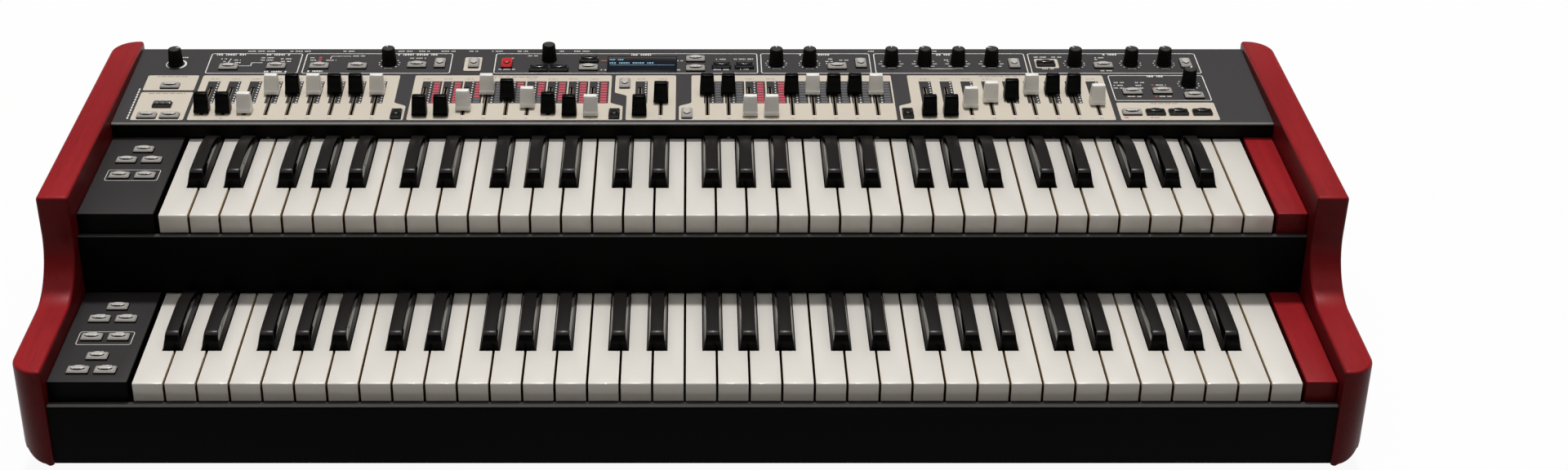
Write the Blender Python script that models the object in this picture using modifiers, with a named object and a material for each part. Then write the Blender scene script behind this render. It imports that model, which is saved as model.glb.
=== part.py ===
"""A two-manual combo organ with end cheeks, drawbars, knobs and buttons. Metres, +Z up, feet on z = 0."""

import math

import bmesh
import bpy
from mathutils import Matrix

# Gaps
GAP = 0.0003
BUTTON_GAP = 0.0003
SHAFT_GAP = 0.0004

# Overall
FOOT_HEIGHT = 0.008
PLATE = 0.002

# Keyboards
WHITE_KEYS = 36
KEY_PITCH = 0.0235
KEY_SPACING = 0.001
KEY_DEPTH = 0.015
KEY_DIP = 0.010
KEY_LEVER = 0.160
KEY_LENGTH = 0.1295
FELT_GAP = 0.0008
SHARP_SETBACK = 0.0455
SHARP_TO_FASCIA = 0.0027
SHARP_RISE = 0.0129
SHARP_WIDTH = 0.014
SHARP_TOP_WIDTH = 0.0085
SHARP_SLOPE = 0.0045
SHARP_CLEARANCE = 0.0007
TAIL_DROP = 0.0071
TAIL_HEIGHT = 0.005
WHITE_TAIL_WIDTH = 0.009
SHARP_TAIL_WIDTH = 0.007
TAIL_BEHIND_HINGE = 0.005
LINK_DROP = 0.0016
LINK_HEIGHT = 0.003
LINK_DEPTH = 0.005
WHITE_LINK_SETBACK = 0.0125
SHARP_LINK_SETBACK = 0.006
RIDGE_DEPTH = 0.0045

# Each sharp of an octave: the white key before it, and its place beside that key's right edge
OCTAVE = 7
SHARPS = {0: -0.0020, 1: 0.0030, 3: -0.0029, 4: 0.0002, 5: 0.0038}
SINGLE_WHITES = {14: "c", 15: "d"}
SINGLE_SHARPS = {14: "c_sharp", 15: "d_sharp"}

# Where the keyboards stand
LEFT_BAY = 0.0609
RIGHT_BAY = 0.0251
RAIL_TO_KEYS = 0.0113
LOWER_KEY_TOP = 0.0719
MANUAL_RISE = 0.0662
MANUAL_STEP = 0.1323
BED_THICKNESS = 0.0024
BED_SETBACK = 0.004
BED_BEHIND_HINGE = 0.010

# Blocks beside the keyboards
BLOCK_RISE = 0.0015
BLOCK_WALL = 0.0025
LEFT_BLOCK_GAP = 0.0026
RIGHT_BLOCK_GAP = 0.0018

# End cheeks
CHEEK_THICKNESS = 0.024
CHEEK_TOP = 0.1627
CHEEK_STEP = 0.0886
CHEEK_NOSE = 0.1274
CHEEK_LEAN = 0.0015
CHEEK_COVE = 0.040
CHEEK_CORNER = 0.021
CHEEK_EDGE = 0.002
COVE_STEPS = 8
CORNER_STEPS = 6

# Front rail and fascia
RAIL_SETBACK = 0.003
RAIL_TOP = 0.0574
RAIL_FLANGE = 0.0062
RAIL_FOOT = 0.014
SHEET = 0.0025
FASCIA_AHEAD = 0.0056
FASCIA_DROP = 0.0151
FASCIA_CLEARANCE = 0.0031
FASCIA_FLANGE = 0.004

# Control panel
PANEL_AHEAD = 0.1299
PANEL_DEPTH = 0.1311
PANEL_RISE = 0.0142
PANEL_TILT = math.radians(2.1)
PANEL_REAR_INSET = 0.0054
PANEL_ROUND = 0.002
PANEL_SKIRT = 0.0118
PANEL_REAR_LIP = 0.0065
ROUND_STEPS = 4

# Drawbars: the gap before each group, from the panel's left end or the drawbar before, and its settings
DRAWBAR_PITCH = 0.01725
DRAWBAR_STEP = 0.0046
DRAWBAR_GAPS = {"left": 0.0697, "second": 0.0382, "pedal": 0.0392, "third": 0.03775, "right": 0.0410}
DRAWBAR_SETTINGS = {
    "left": "777000000",
    "second": "886025788",
    "pedal": "83",
    "third": "008800000",
    "right": "885320004",
}
FULL_SETTING = 8
SLOT_FRONT = 0.0125
SLOT_LENGTH = 0.048
SLOT_WIDTH = 0.0028
CAP_FRONT = 0.0084
CAP_LENGTH = 0.0115
CAP_HEIGHT = 0.0157
CAP_WIDTH = 0.0122
CAP_TOP_WIDTH = 0.0106
CAP_LIFT = 0.0016
STEM_BEHIND_CAP_FRONT = 0.0082
STEM_WIDTH = 0.0018
STEM_LENGTH = 0.006
LINK_BEHIND_STEM = 0.0429
BAR_WIDTH = 0.004
BAR_THICKNESS = 0.0011
BAR_SPACING = 0.0016
BARS_BELOW_PANEL = 0.0035

# Knobs: distance from the panel's left end, distance from its front edge, and name
KNOBS = {
    "knob_volume": (0.0329, 0.1030),
    "knob_drive": (0.2116, 0.1045),
    "dial_program": (0.3455, 0.1115),
    "knob_effect_rate": (0.5363, 0.1036),
    "knob_effect_amount": (0.5642, 0.1036),
    "knob_eq_bass": (0.6326, 0.1036),
    "knob_eq_middle_frequency": (0.6606, 0.1036),
    "knob_eq_middle": (0.6886, 0.1036),
    "knob_eq_treble": (0.7166, 0.1036),
    "knob_delay_tempo": (0.7864, 0.1036),
    "knob_delay_feedback": (0.8335, 0.1036),
    "knob_delay_mix": (0.8615, 0.1036),
    "knob_reverb_mix": (0.8755, 0.0660),
}
KNOB_RADIUS = 0.0056
KNOB_TOP_RADIUS = 0.0048
KNOB_HEIGHT = 0.0144
KNOB_LIFT = 0.0005
KNOB_CHAMFER = 0.0006
SHAFT_RADIUS = 0.003
TURN_STEPS = 16
HOLE_STEPS = 12

# Push buttons on the panel: distance from its left end and from its front edge
BUTTON_LENGTH = 0.0157
BUTTON_WIDTH = 0.009
BUTTON_RISE = 0.003
BUTTON_CHAMFER = 0.0008
REAR_BUTTONS = (
    (0.0778, 0.0963),
    (0.1175, 0.0978),
    (0.1534, 0.0980),
    (0.1853, 0.0978),
    (0.2351, 0.1000),
    (0.3375, 0.0936),
    (0.3544, 0.0936),
    (0.3790, 0.0952),
    (0.3790, 0.1098),
    (0.4903, 0.0987),
    (0.5094, 0.0987),
    (0.5871, 0.0970),
    (0.7623, 0.1026),
    (0.8100, 0.0991),
)
REAR_TALL_BUTTONS = (
    (0.2542, 0.1033),
    (0.2826, 0.1033),
    (0.3103, 0.1033),
    (0.6073, 0.1033),
    (0.7358, 0.1025),
    (0.8797, 0.1033),
)
LEFT_COLUMN = ((0.0354, 0.0624), (0.0354, 0.0291))
LEFT_PAIR = ((0.0264, 0.0104), (0.0448, 0.0104))

# Buttons right of the drawbars: the gap before each, and the distances from the front edge
REVERB_GAPS = (0.0317, 0.0249, 0.0247)
REVERB_ROWS = (0.0518, 0.0529, 0.0450)
PRESET_GAPS = (0.0259, 0.0190, 0.0185, 0.0192)
PRESET_FRONT = 0.0160

# Buttons between the drawbar groups: distance from the last drawbar of the group, and from the front edge
GROUP_BUTTONS = {
    "left": ((0.0194, 0.0130),),
    "second": ((0.0190, 0.0133), (0.0263, 0.0664)),
    "pedal": ((0.02115, 0.0140),),
    "third": ((0.0238, 0.0140),),
}

# Columns of the block buttons: distance from the left cheek, and rows behind the block's front
BLOCK_COLUMN = 0.0299
BLOCK_COLUMN_STEP = 0.0100
UPPER_BLOCK_ROWS = ((0.1052, 1), (0.0869, 2), (0.0606, 2))
LOWER_BLOCK_ROWS = ((0.1044, 1), (0.0864, 2), (0.0602, 2), (0.0333, 1), (0.0144, 2))
WEB_THICKNESS = 0.0012
WEB_FRONT = 0.0760
WEB_DEPTH = 0.0085
WEB_BRANCH = 0.006

# Display window, and the two buttons right of it
DISPLAY_BUTTONS = (0.0936, 0.1110)
DISPLAY_BUTTON_GAP = 0.0156
DISPLAY_LEFT = 0.3946
DISPLAY_WIDTH = 0.0584
DISPLAY_FRONT = 0.0867
DISPLAY_DEPTH = 0.0308

# Panel board
BOARD = 0.0016
PANEL_BOARD_DROP = 0.010
PANEL_BOARD_FRONT = 0.099
PANEL_BOARD_INSET = 0.0052
PANEL_BOARD_END = 0.011
POST = 0.005

# Rear panel, sockets and mains inlet
REAR_SETBACK = 0.008
SOCKET_CENTRE_HEIGHT = 0.070
SOCKET_ROW_LEFT = 0.150
SOCKET_PITCH = 0.030
JACKS = 4
DATA_SOCKETS = 1
SOCKET_BODY_DEPTH = 0.0175
SOCKET_BODY_HEIGHT = 0.024
COLLAR_LENGTH = 0.0018
COLLAR_GAP = 0.0004
JACK_COLLAR = 0.0060
JACK_BORE = 0.0033
JACK_DEPTH = 0.014
DATA_COLLAR = 0.0085
DATA_BORE = 0.0066
DATA_DEPTH = 0.010
USB_OUTER = (0.0150, 0.0140)
USB_INNER = (0.0090, 0.0082)
USB_DEPTH = 0.011
INLET_RIGHT = 0.085
INLET_SIZE = (0.056, 0.028)
INLET_FLANGE = 0.003
INLET_FLANGE_THICKNESS = 0.0018
INLET_DEPTH = 0.024
INLET_RECESS = (0.0250, 0.0175)
INLET_RECESS_DEPTH = 0.016
INLET_RECESS_OFFSET = 0.0115
ROCKER_OFFSET = 0.0170
ROCKER_SIZE = (0.0120, 0.0184)
ROCKER_POCKET_DEPTH = 0.012
ROCKER_THROW = math.radians(16)
ROCKER_AXIS_DEPTH = 0.002
ROCKER_BODY_DEPTH = 0.0045

# Boards and supply inside
MAIN_BOARD_SIZE = (0.300, 0.120)
MAIN_BOARD_REAR_GAP = 0.045
MAIN_BOARD_RISE = 0.006
CHIP = (0.020, 0.020, 0.0025)
SUPPLY_SIZE = (0.110, 0.100, 0.036)
SUPPLY_REAR_GAP = 0.035
SUPPLY_RIGHT = 0.040
SUPPLY_WALL = 0.0015
VENTS = 6
VENT_WIDTH = 0.004

# Feet
FOOT_RADIUS = 0.012
FOOT_BOTTOM_RADIUS = 0.0105
FOOT_INSET_X = 0.030
FOOT_INSET_Y = 0.035

# Worked out from the sizes above
KEYBOARD_WIDTH = WHITE_KEYS * KEY_PITCH
INNER_WIDTH = LEFT_BAY + KEYBOARD_WIDTH + RIGHT_BAY
LEFT = -INNER_WIDTH / 2
RIGHT = INNER_WIDTH / 2
KEYBOARD_LEFT = LEFT + LEFT_BAY
DEPTH = RAIL_TO_KEYS + MANUAL_STEP + PANEL_AHEAD + PANEL_DEPTH + PANEL_REAR_INSET
FRONT = -DEPTH / 2
REAR = DEPTH / 2
LOWER_KEY_FRONT = FRONT + RAIL_TO_KEYS
UPPER_KEY_FRONT = LOWER_KEY_FRONT + MANUAL_STEP
UPPER_KEY_TOP = LOWER_KEY_TOP + MANUAL_RISE
PLATE_TOP = FOOT_HEIGHT + PLATE
PANEL_FRONT = UPPER_KEY_FRONT + PANEL_AHEAD
PANEL_TOP = UPPER_KEY_TOP + PANEL_RISE
SHARP_LENGTH = MANUAL_STEP - FASCIA_AHEAD - SHARP_TO_FASCIA - SHARP_SETBACK
PANEL_LENGTH = PANEL_DEPTH / math.cos(PANEL_TILT)
PANEL_BOARD_REAR = PANEL_LENGTH - PANEL_BOARD_INSET
REAR_FACE = REAR - REAR_SETBACK
REAR_INNER = REAR_FACE - PLATE
MAIN_BOARD_FRONT = REAR_INNER - MAIN_BOARD_REAR_GAP - MAIN_BOARD_SIZE[1]
SUPPLY_FRONT = REAR_INNER - SUPPLY_REAR_GAP - SUPPLY_SIZE[1]

# Axes turned so that a side view drawn in X and Y stands in Y and Z, extruded along X
SIDE_VIEW = Matrix(((0, 0, 1, 0), (1, 0, 0, 0), (0, 1, 0, 0), (0, 0, 0, 1)))
# Axes turned so that a shape turned about Z points along Y
ALONG_Y = Matrix.Rotation(-math.pi / 2, 4, "X")


def clear_scene():
    """Removes what the new file holds."""
    for old in list(bpy.data.objects):
        bpy.data.objects.remove(old, do_unlink=True)


def make_collection(name):
    """A collection linked to the scene."""
    collection = bpy.data.collections.new(name)
    bpy.context.scene.collection.children.link(collection)
    return collection


def make_material(name, colour, roughness, metallic=0.0):
    """A plain Principled BSDF material."""
    material = bpy.data.materials.new(name)
    material.use_nodes = True
    shader = material.node_tree.nodes["Principled BSDF"]
    shader.inputs["Base Color"].default_value = (*colour, 1.0)
    shader.inputs["Roughness"].default_value = roughness
    shader.inputs["Metallic"].default_value = metallic
    material.diffuse_color = (*colour, 1.0)
    return material


def evaluated_mesh(obj):
    """The mesh of an object with its modifiers applied, after which the object is removed."""
    bpy.context.view_layer.update()
    graph = bpy.context.evaluated_depsgraph_get()
    mesh = bpy.data.meshes.new_from_object(obj.evaluated_get(graph))
    bpy.data.objects.remove(obj, do_unlink=True)
    return mesh


def temporary_object(mesh):
    """An object that holds a mesh while it is shaped."""
    obj = bpy.data.objects.new("shape", mesh)
    bpy.context.scene.collection.objects.link(obj)
    return obj


def mesh_from(bm):
    """A mesh from a bmesh, with its faces pointing out."""
    bmesh.ops.recalc_face_normals(bm, faces=bm.faces)
    mesh = bpy.data.meshes.new("shape")
    bm.to_mesh(mesh)
    bm.free()
    return mesh


def moved(mesh, matrix):
    """The same mesh after a turn or a shift."""
    mesh.transform(matrix)
    return mesh


def box(low, high):
    """A mesh of one box between two corners."""
    return boxes([(low, high)])


def boxes(corners):
    """A mesh of several boxes that don't touch."""
    bm = bmesh.new()
    for low, high in corners:
        size = [high[i] - low[i] for i in range(3)]
        centre = [(high[i] + low[i]) / 2 for i in range(3)]
        place = Matrix.Translation(centre) @ Matrix.Diagonal((*size, 1))
        bmesh.ops.create_cube(bm, size=1, matrix=place)
    return mesh_from(bm)


def prism(outlines, low, high, matrix=None):
    """A mesh of flat outlines filled and extruded from low to high along Z, then turned."""
    curve = bpy.data.curves.new("outline", "CURVE")
    curve.dimensions = "2D"
    curve.fill_mode = "BOTH"
    curve.extrude = (high - low) / 2
    for outline in outlines:
        spline = curve.splines.new("POLY")
        spline.points.add(len(outline) - 1)
        for point, place in zip(spline.points, outline):
            point.co = (*place, 0, 1)
        spline.use_cyclic_u = True
    mesh = evaluated_mesh(temporary_object(curve))
    mesh.transform(Matrix.Translation((0, 0, (low + high) / 2)))
    bm = bmesh.new()
    bm.from_mesh(mesh)
    bmesh.ops.remove_doubles(bm, verts=bm.verts, dist=1e-6)
    bmesh.ops.dissolve_limit(bm, angle_limit=math.radians(1), verts=bm.verts, edges=bm.edges)
    mesh = mesh_from(bm)
    return moved(mesh, matrix or Matrix())


def turned(profile, steps=TURN_STEPS):
    """A mesh turned about Z from a profile of radius and height, listed from its top to its foot."""
    mesh = bpy.data.meshes.new("profile")
    points = [(radius, 0, height) for radius, height in profile]
    mesh.from_pydata(points, [(i, i + 1) for i in range(len(points) - 1)], [])
    obj = temporary_object(mesh)
    screw = obj.modifiers.new("turn", "SCREW")
    screw.steps = steps
    screw.render_steps = steps
    screw.use_merge_vertices = True
    screw.merge_threshold = 0.00001
    bm = bmesh.new()
    bm.from_mesh(evaluated_mesh(obj))
    bmesh.ops.remove_doubles(bm, verts=bm.verts, dist=1e-6)
    return mesh_from(bm)


def rod(radius, low, high, steps=TURN_STEPS):
    """A plain cylinder about Z."""
    return turned([(0, high), (radius, high), (radius, low), (0, low)], steps)


def combined(base, others, operation):
    """The base mesh after a Boolean with each of the other meshes."""
    target = temporary_object(base)
    for other in others:
        modifier = target.modifiers.new("join", "BOOLEAN")
        modifier.operation = operation
        modifier.object = temporary_object(other)
    operands = [modifier.object for modifier in target.modifiers]
    mesh = evaluated_mesh(target)
    for operand in operands:
        bpy.data.objects.remove(operand, do_unlink=True)
    return mesh


def joined(base, *others):
    """Meshes that overlap, made into one body."""
    return combined(base, others, "UNION")


def cut(base, *others):
    """The base mesh with the others taken out of it."""
    return combined(base, others, "DIFFERENCE")


def gathered(meshes):
    """Several meshes that don't touch, held in one mesh."""
    bm = bmesh.new()
    for mesh in meshes:
        bm.from_mesh(mesh)
    mesh = bpy.data.meshes.new("shape")
    bm.to_mesh(mesh)
    bm.free()
    return mesh


def smooth(mesh, degrees=35):
    """Smooth shading that keeps the edges sharper than an angle."""
    mesh.shade_smooth()
    mesh.set_sharp_from_angle(angle=math.radians(degrees))
    return mesh


def add_part(name, mesh, material, location=(0, 0, 0), parent=None):
    """A named object in the organ's collection, with its origin at its location."""
    obj = bpy.data.objects.new(name, mesh)
    mesh.name = name
    mesh.materials.clear()
    mesh.materials.append(material)
    obj.location = location
    obj.parent = parent
    organ.objects.link(obj)
    return obj


def from_origin(mesh, origin):
    """A mesh drawn in place, moved so that its origin comes to its object's own."""
    return moved(mesh, Matrix.Translation(origin).inverted())


def arc(centre, radius, start, end, steps):
    """Points along an arc, with its angles in degrees."""
    angles = [math.radians(start + (end - start) * i / steps) for i in range(steps + 1)]
    return [(centre[0] + radius * math.cos(a), centre[1] + radius * math.sin(a)) for a in angles]


def cheek_outline():
    """The side view of an end cheek, with its cove between the two tops."""
    nose = FRONT + CHEEK_NOSE
    cove = (nose - CHEEK_COVE, CHEEK_STEP + CHEEK_COVE)
    return [
        (FRONT, FOOT_HEIGHT),
        (REAR, FOOT_HEIGHT),
        (REAR, CHEEK_TOP),
        (nose - CHEEK_LEAN, CHEEK_TOP),
        *arc(cove, CHEEK_COVE, 0, -90, COVE_STEPS),
        (FRONT, CHEEK_STEP),
    ]


def is_corner(edge, outer, y):
    """Whether an edge is the upright one at an outer corner of a cheek."""
    places = [vert.co for vert in edge.verts]
    return all(abs(place.x - outer) < GAP and abs(place.y - y) < GAP for place in places)


def make_cheek(name, side, material):
    """An end cheek, rounded in plan at its two outer corners and eased along its edges."""
    inner = side * (INNER_WIDTH / 2)
    outer = side * (INNER_WIDTH / 2 + CHEEK_THICKNESS)
    mesh = prism([cheek_outline()], min(inner, outer), max(inner, outer), SIDE_VIEW)
    bm = bmesh.new()
    bm.from_mesh(mesh)
    corners = [edge for edge in bm.edges if any(is_corner(edge, outer, y) for y in (FRONT, REAR))]
    bmesh.ops.bevel(
        bm, geom=corners, offset=CHEEK_CORNER, segments=CORNER_STEPS, profile=0.5, affect="EDGES", material=-1
    )
    long_edges = [
        edge
        for edge in bm.edges
        if edge.is_manifold
        and edge.calc_face_angle() > math.radians(60)
        and max(vert.co.z for vert in edge.verts) > FOOT_HEIGHT + GAP
    ]
    bmesh.ops.bevel(
        bm, geom=long_edges, offset=CHEEK_EDGE, segments=2, profile=0.5, affect="EDGES", material=-1, clamp_overlap=True
    )
    add_part(name, smooth(mesh_from(bm)), material)


def sharp_positions():
    """The centre of each sharp, by the white key before it."""
    found = {}
    for white in range(WHITE_KEYS - 1):
        if white % OCTAVE in SHARPS:
            found[white] = KEYBOARD_LEFT + (white + 1) * KEY_PITCH + SHARPS[white % OCTAVE]
    return found


def white_rear(white, sharps):
    """The left and right sides of a white key behind its notches."""
    notch = SHARP_WIDTH / 2 + SHARP_CLEARANCE
    left = KEYBOARD_LEFT + white * KEY_PITCH + KEY_SPACING / 2
    right = left + KEY_PITCH - KEY_SPACING
    if white - 1 in sharps:
        left = sharps[white - 1] + notch
    if white in sharps:
        right = sharps[white] - notch
    return left, right


def white_outline(white, sharps, front):
    """The plan of a white key, notched for the sharps beside it."""
    left = KEYBOARD_LEFT + white * KEY_PITCH + KEY_SPACING / 2
    right = left + KEY_PITCH - KEY_SPACING
    rear_left, rear_right = white_rear(white, sharps)
    notch = front + SHARP_SETBACK - SHARP_CLEARANCE
    rear = front + KEY_LENGTH
    outline = [(left, front), (right, front)]
    if white in sharps:
        outline += [(right, notch), (rear_right, notch)]
    outline += [(rear_right, rear), (rear_left, rear)]
    if white - 1 in sharps:
        outline += [(rear_left, notch), (left, notch)]
    return outline


def tail(centre, width, front, start, top):
    """The corners of a key's tail, which runs back past its hinge."""
    high = top - TAIL_DROP
    low = (centre - width / 2, start, high - TAIL_HEIGHT)
    return low, (centre + width / 2, front + KEY_LEVER + TAIL_BEHIND_HINGE, high)


def link(lefts, rights, front, top, setback):
    """The corners of the bar that joins a bank of keys under their tails."""
    hinge = front + KEY_LEVER
    high = top - TAIL_DROP - TAIL_HEIGHT - LINK_DROP
    low = (min(lefts), hinge - setback, high - LINK_HEIGHT)
    return low, (max(rights), hinge - setback + LINK_DEPTH, high)


def leg(centre, width, front, top, setback):
    """The corners of the leg from one key's tail down to its bank's bar."""
    hinge = front + KEY_LEVER
    high = top - TAIL_DROP - TAIL_HEIGHT
    inset = LINK_DEPTH / 5
    low = (centre - width / 2, hinge - setback + inset, high - LINK_DROP - LINK_HEIGHT / 2)
    return low, (centre + width / 2, hinge - setback + LINK_DEPTH - inset, high + TAIL_HEIGHT / 2)


def white_solids(whites, sharps, front, top):
    """White keys with their tails, each a body of its own."""
    bodies = prism([white_outline(white, sharps, front) for white in whites], top - KEY_DEPTH, top)
    start = front + KEY_LENGTH - TAIL_HEIGHT
    centres = [sum(white_rear(white, sharps)) / 2 for white in whites]
    tails = boxes([tail(centre, WHITE_TAIL_WIDTH, front, start, top) for centre in centres])
    return joined(bodies, tails), centres


def sharp_solids(centres, front, top):
    """Sharps with a sloping front, narrower on top, and their tails."""
    start = front + SHARP_SETBACK
    foot = top - TAIL_DROP - TAIL_HEIGHT
    waist = top + KEY_SPACING
    outline = [
        (start, foot),
        (start + SHARP_LENGTH, foot),
        (start + SHARP_LENGTH, waist),
        (start + SHARP_LENGTH, top + SHARP_RISE),
        (start + SHARP_SLOPE, top + SHARP_RISE),
        (start, waist),
    ]
    shapes = []
    for centre in centres:
        half = SHARP_WIDTH / 2
        mesh = prism([outline], -half, half, SIDE_VIEW)
        for vert in mesh.vertices:
            if vert.co.z > waist + GAP:
                vert.co.x *= SHARP_TOP_WIDTH / SHARP_WIDTH
        shapes.append(moved(mesh, Matrix.Translation((centre, 0, 0))))
    begin = start + SHARP_LENGTH - TAIL_HEIGHT
    tails = boxes([tail(centre, SHARP_TAIL_WIDTH, front, begin, top) for centre in centres])
    return joined(gathered(shapes), tails)


def key_bank(solids, centres, width, front, top, setback):
    """Keys joined under their tails by one bar."""
    lefts = [centre - width / 2 for centre in centres]
    rights = [centre + width / 2 for centre in centres]
    bar = box(*link(lefts, rights, front, top, setback))
    legs = boxes([leg(centre, width - GAP, front, top, setback) for centre in centres])
    return joined(solids, legs, bar)


def make_keyboard(manual, front, top, ivory, ebony):
    """A manual's two banks and its four single keys, each with its origin on the hinge line."""
    hinge = (0, front + KEY_LEVER, top - TAIL_DROP - TAIL_HEIGHT)
    sharps = sharp_positions()
    whites = [white for white in range(WHITE_KEYS) if white not in SINGLE_WHITES]
    solids, centres = white_solids(whites, sharps, front, top)
    bank = key_bank(solids, centres, WHITE_TAIL_WIDTH, front, top, WHITE_LINK_SETBACK)
    add_part(f"{manual}_white_keys", from_origin(bank, hinge), ivory, hinge)
    centres = [centre for white, centre in sharps.items() if white not in SINGLE_SHARPS]
    solids = sharp_solids(centres, front, top)
    bank = key_bank(solids, centres, SHARP_TAIL_WIDTH, front, top, SHARP_LINK_SETBACK)
    add_part(f"{manual}_black_keys", from_origin(bank, hinge), ebony, hinge)
    for white, note in SINGLE_WHITES.items():
        solid, _ = white_solids([white], sharps, front, top)
        add_part(f"{manual}_key_{note}", from_origin(solid, hinge), ivory, hinge)
    for white, note in SINGLE_SHARPS.items():
        solid = sharp_solids([sharps[white]], front, top)
        add_part(f"{manual}_key_{note}", from_origin(solid, hinge), ebony, hinge)


def bed_top(top):
    """The height of a keybed's upper face under the keys."""
    return top - KEY_DEPTH - KEY_DIP - FELT_GAP


def make_keybed(name, front, top, material):
    """The plate under a keyboard, with the ridge that its keys turn on."""
    upper = bed_top(top)
    lower = upper - BED_THICKNESS
    hinge = front + KEY_LEVER
    ridge = top - TAIL_DROP - TAIL_HEIGHT - GAP
    outline = [
        (front + BED_SETBACK, lower),
        (hinge + BED_BEHIND_HINGE, lower),
        (hinge + BED_BEHIND_HINGE, upper),
        (hinge - GAP + RIDGE_DEPTH, upper),
        (hinge - GAP + RIDGE_DEPTH, ridge),
        (hinge - GAP, ridge),
        (hinge - GAP, upper),
        (front + BED_SETBACK, upper),
    ]
    add_part(name, prism([outline], LEFT + GAP, RIGHT - GAP, SIDE_VIEW), material)


def block_rows(rows, front):
    """The centres of a block's buttons, one or two to a row."""
    centre = LEFT + BLOCK_COLUMN
    places = []
    for distance, count in rows:
        offsets = (0,) if count == 1 else (-BLOCK_COLUMN_STEP, BLOCK_COLUMN_STEP)
        places += [(centre + offset, front + distance) for offset in offsets]
    return places


def make_left_block(name, front, top, rows, material):
    """The hollow block left of a keyboard, open below, with holes for its buttons."""
    right = KEYBOARD_LEFT - LEFT_BLOCK_GAP
    low = (LEFT + GAP, front, bed_top(top) + GAP)
    high = (right, front + KEY_LENGTH, top + BLOCK_RISE)
    shell = box(low, high)
    inside_low = (low[0] + BLOCK_WALL, low[1] + BLOCK_WALL, low[2] - PLATE)
    inside_high = (high[0] - BLOCK_WALL, high[1] - BLOCK_WALL, high[2] - BLOCK_WALL)
    half_length = BUTTON_LENGTH / 2 + BUTTON_GAP
    half_width = BUTTON_WIDTH / 2 + BUTTON_GAP
    holes = [
        ((x - half_length, y - half_width, high[2] - 2 * BLOCK_WALL), (x + half_length, y + half_width, high[2] + PLATE))
        for x, y in block_rows(rows, front)
    ]
    add_part(name, cut(shell, box(inside_low, inside_high), boxes(holes)), material)


def make_right_block(name, front, top, material):
    """The solid wooden block right of a keyboard."""
    low = (KEYBOARD_LEFT + KEYBOARD_WIDTH + RIGHT_BLOCK_GAP, front, bed_top(top) + GAP)
    add_part(name, box(low, (RIGHT - GAP, front + KEY_LENGTH, top + BLOCK_RISE)), material)


def button_solid(x, y, length, width, low, high):
    """A push button with a chamfered top, from its web up."""
    bm = bmesh.new()
    size = (length, width, high - low, 1)
    place = Matrix.Translation((x, y, (low + high) / 2)) @ Matrix.Diagonal(size)
    bmesh.ops.create_cube(bm, size=1, matrix=place)
    rim = [edge for edge in bm.edges if all(vert.co.z > (low + high) / 2 for vert in edge.verts)]
    bmesh.ops.bevel(bm, geom=rim, offset=BUTTON_CHAMFER, segments=1, profile=0.5, affect="EDGES", material=-1)
    return mesh_from(bm)


def make_block_buttons(name, front, top, rows, material):
    """The keypad of a left block: its buttons on one web under the block's top."""
    places = block_rows(rows, front)
    surface = top + BLOCK_RISE
    web_high = surface - BLOCK_WALL - GAP
    web_low = web_high - WEB_THICKNESS
    half = BUTTON_WIDTH / 2
    web = box(
        (min(x for x, y in places) - half, min(y for x, y in places) - half, web_low),
        (max(x for x, y in places) + half, max(y for x, y in places) + half, web_high),
    )
    foot = (web_low + web_high) / 2
    buttons = [button_solid(x, y, BUTTON_LENGTH, BUTTON_WIDTH, foot, surface + BUTTON_RISE) for x, y in places]
    add_part(name, joined(web, gathered(buttons)), material)


def make_front_rail(material):
    """The rail before the lower keyboard, folded back at its top and its foot."""
    face = FRONT + RAIL_SETBACK
    flange = face + RAIL_FLANGE
    foot = PLATE_TOP + GAP
    outline = [
        (face, FOOT_HEIGHT + GAP),
        (face + SHEET, FOOT_HEIGHT + GAP),
        (face + SHEET, foot),
        (face + RAIL_FOOT, foot),
        (face + RAIL_FOOT, foot + SHEET),
        (face + SHEET, foot + SHEET),
        (face + SHEET, RAIL_TOP - SHEET),
        (flange, RAIL_TOP - SHEET),
        (flange, RAIL_TOP),
        (face, RAIL_TOP),
    ]
    add_part("front_rail", prism([outline], LEFT + GAP, RIGHT - GAP, SIDE_VIEW), material)


def make_fascia(material):
    """The fascia between the manuals, folded back at its top."""
    face = UPPER_KEY_FRONT - FASCIA_AHEAD
    low = LOWER_KEY_TOP + FASCIA_CLEARANCE
    high = UPPER_KEY_TOP - FASCIA_DROP
    outline = [
        (face, low),
        (face + SHEET, low),
        (face + SHEET, high - SHEET),
        (face + FASCIA_FLANGE, high - SHEET),
        (face + FASCIA_FLANGE, high),
        (face, high),
    ]
    add_part("middle_fascia", prism([outline], LEFT + GAP, RIGHT - GAP, SIDE_VIEW), material)


def panel_place(from_left, from_front):
    """A place on the panel, in the panel's own frame."""
    return LEFT + from_left, from_front


def group_ends():
    """The first and last drawbar of each group, from the panel's left end."""
    found = {}
    last = 0
    for group, gap in DRAWBAR_GAPS.items():
        first = last + gap
        last = first + (len(DRAWBAR_SETTINGS[group]) - 1) * DRAWBAR_PITCH
        found[group] = (first, last)
    return found


def drawbars():
    """Each drawbar's place across the panel and its setting."""
    found = []
    for group, (first, _) in group_ends().items():
        for index, setting in enumerate(DRAWBAR_SETTINGS[group]):
            found.append((LEFT + first + index * DRAWBAR_PITCH, int(setting)))
    return found


def group_buttons():
    """The places of the buttons between the drawbar groups."""
    ends = group_ends()
    return [(ends[group][1] + after, y) for group, places in GROUP_BUTTONS.items() for after, y in places]


def after_drawbars(gaps):
    """Places across the panel, one gap after another from the last drawbar."""
    found = []
    place = group_ends()["right"][1]
    for gap in gaps:
        place += gap
        found.append(place)
    return found


def reverb_buttons():
    """The places of the three buttons beside the reverb knob."""
    return list(zip(after_drawbars(REVERB_GAPS), REVERB_ROWS))


def preset_row():
    """The places of the row of preset buttons."""
    return [(x, PRESET_FRONT) for x in after_drawbars(PRESET_GAPS)]


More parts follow.
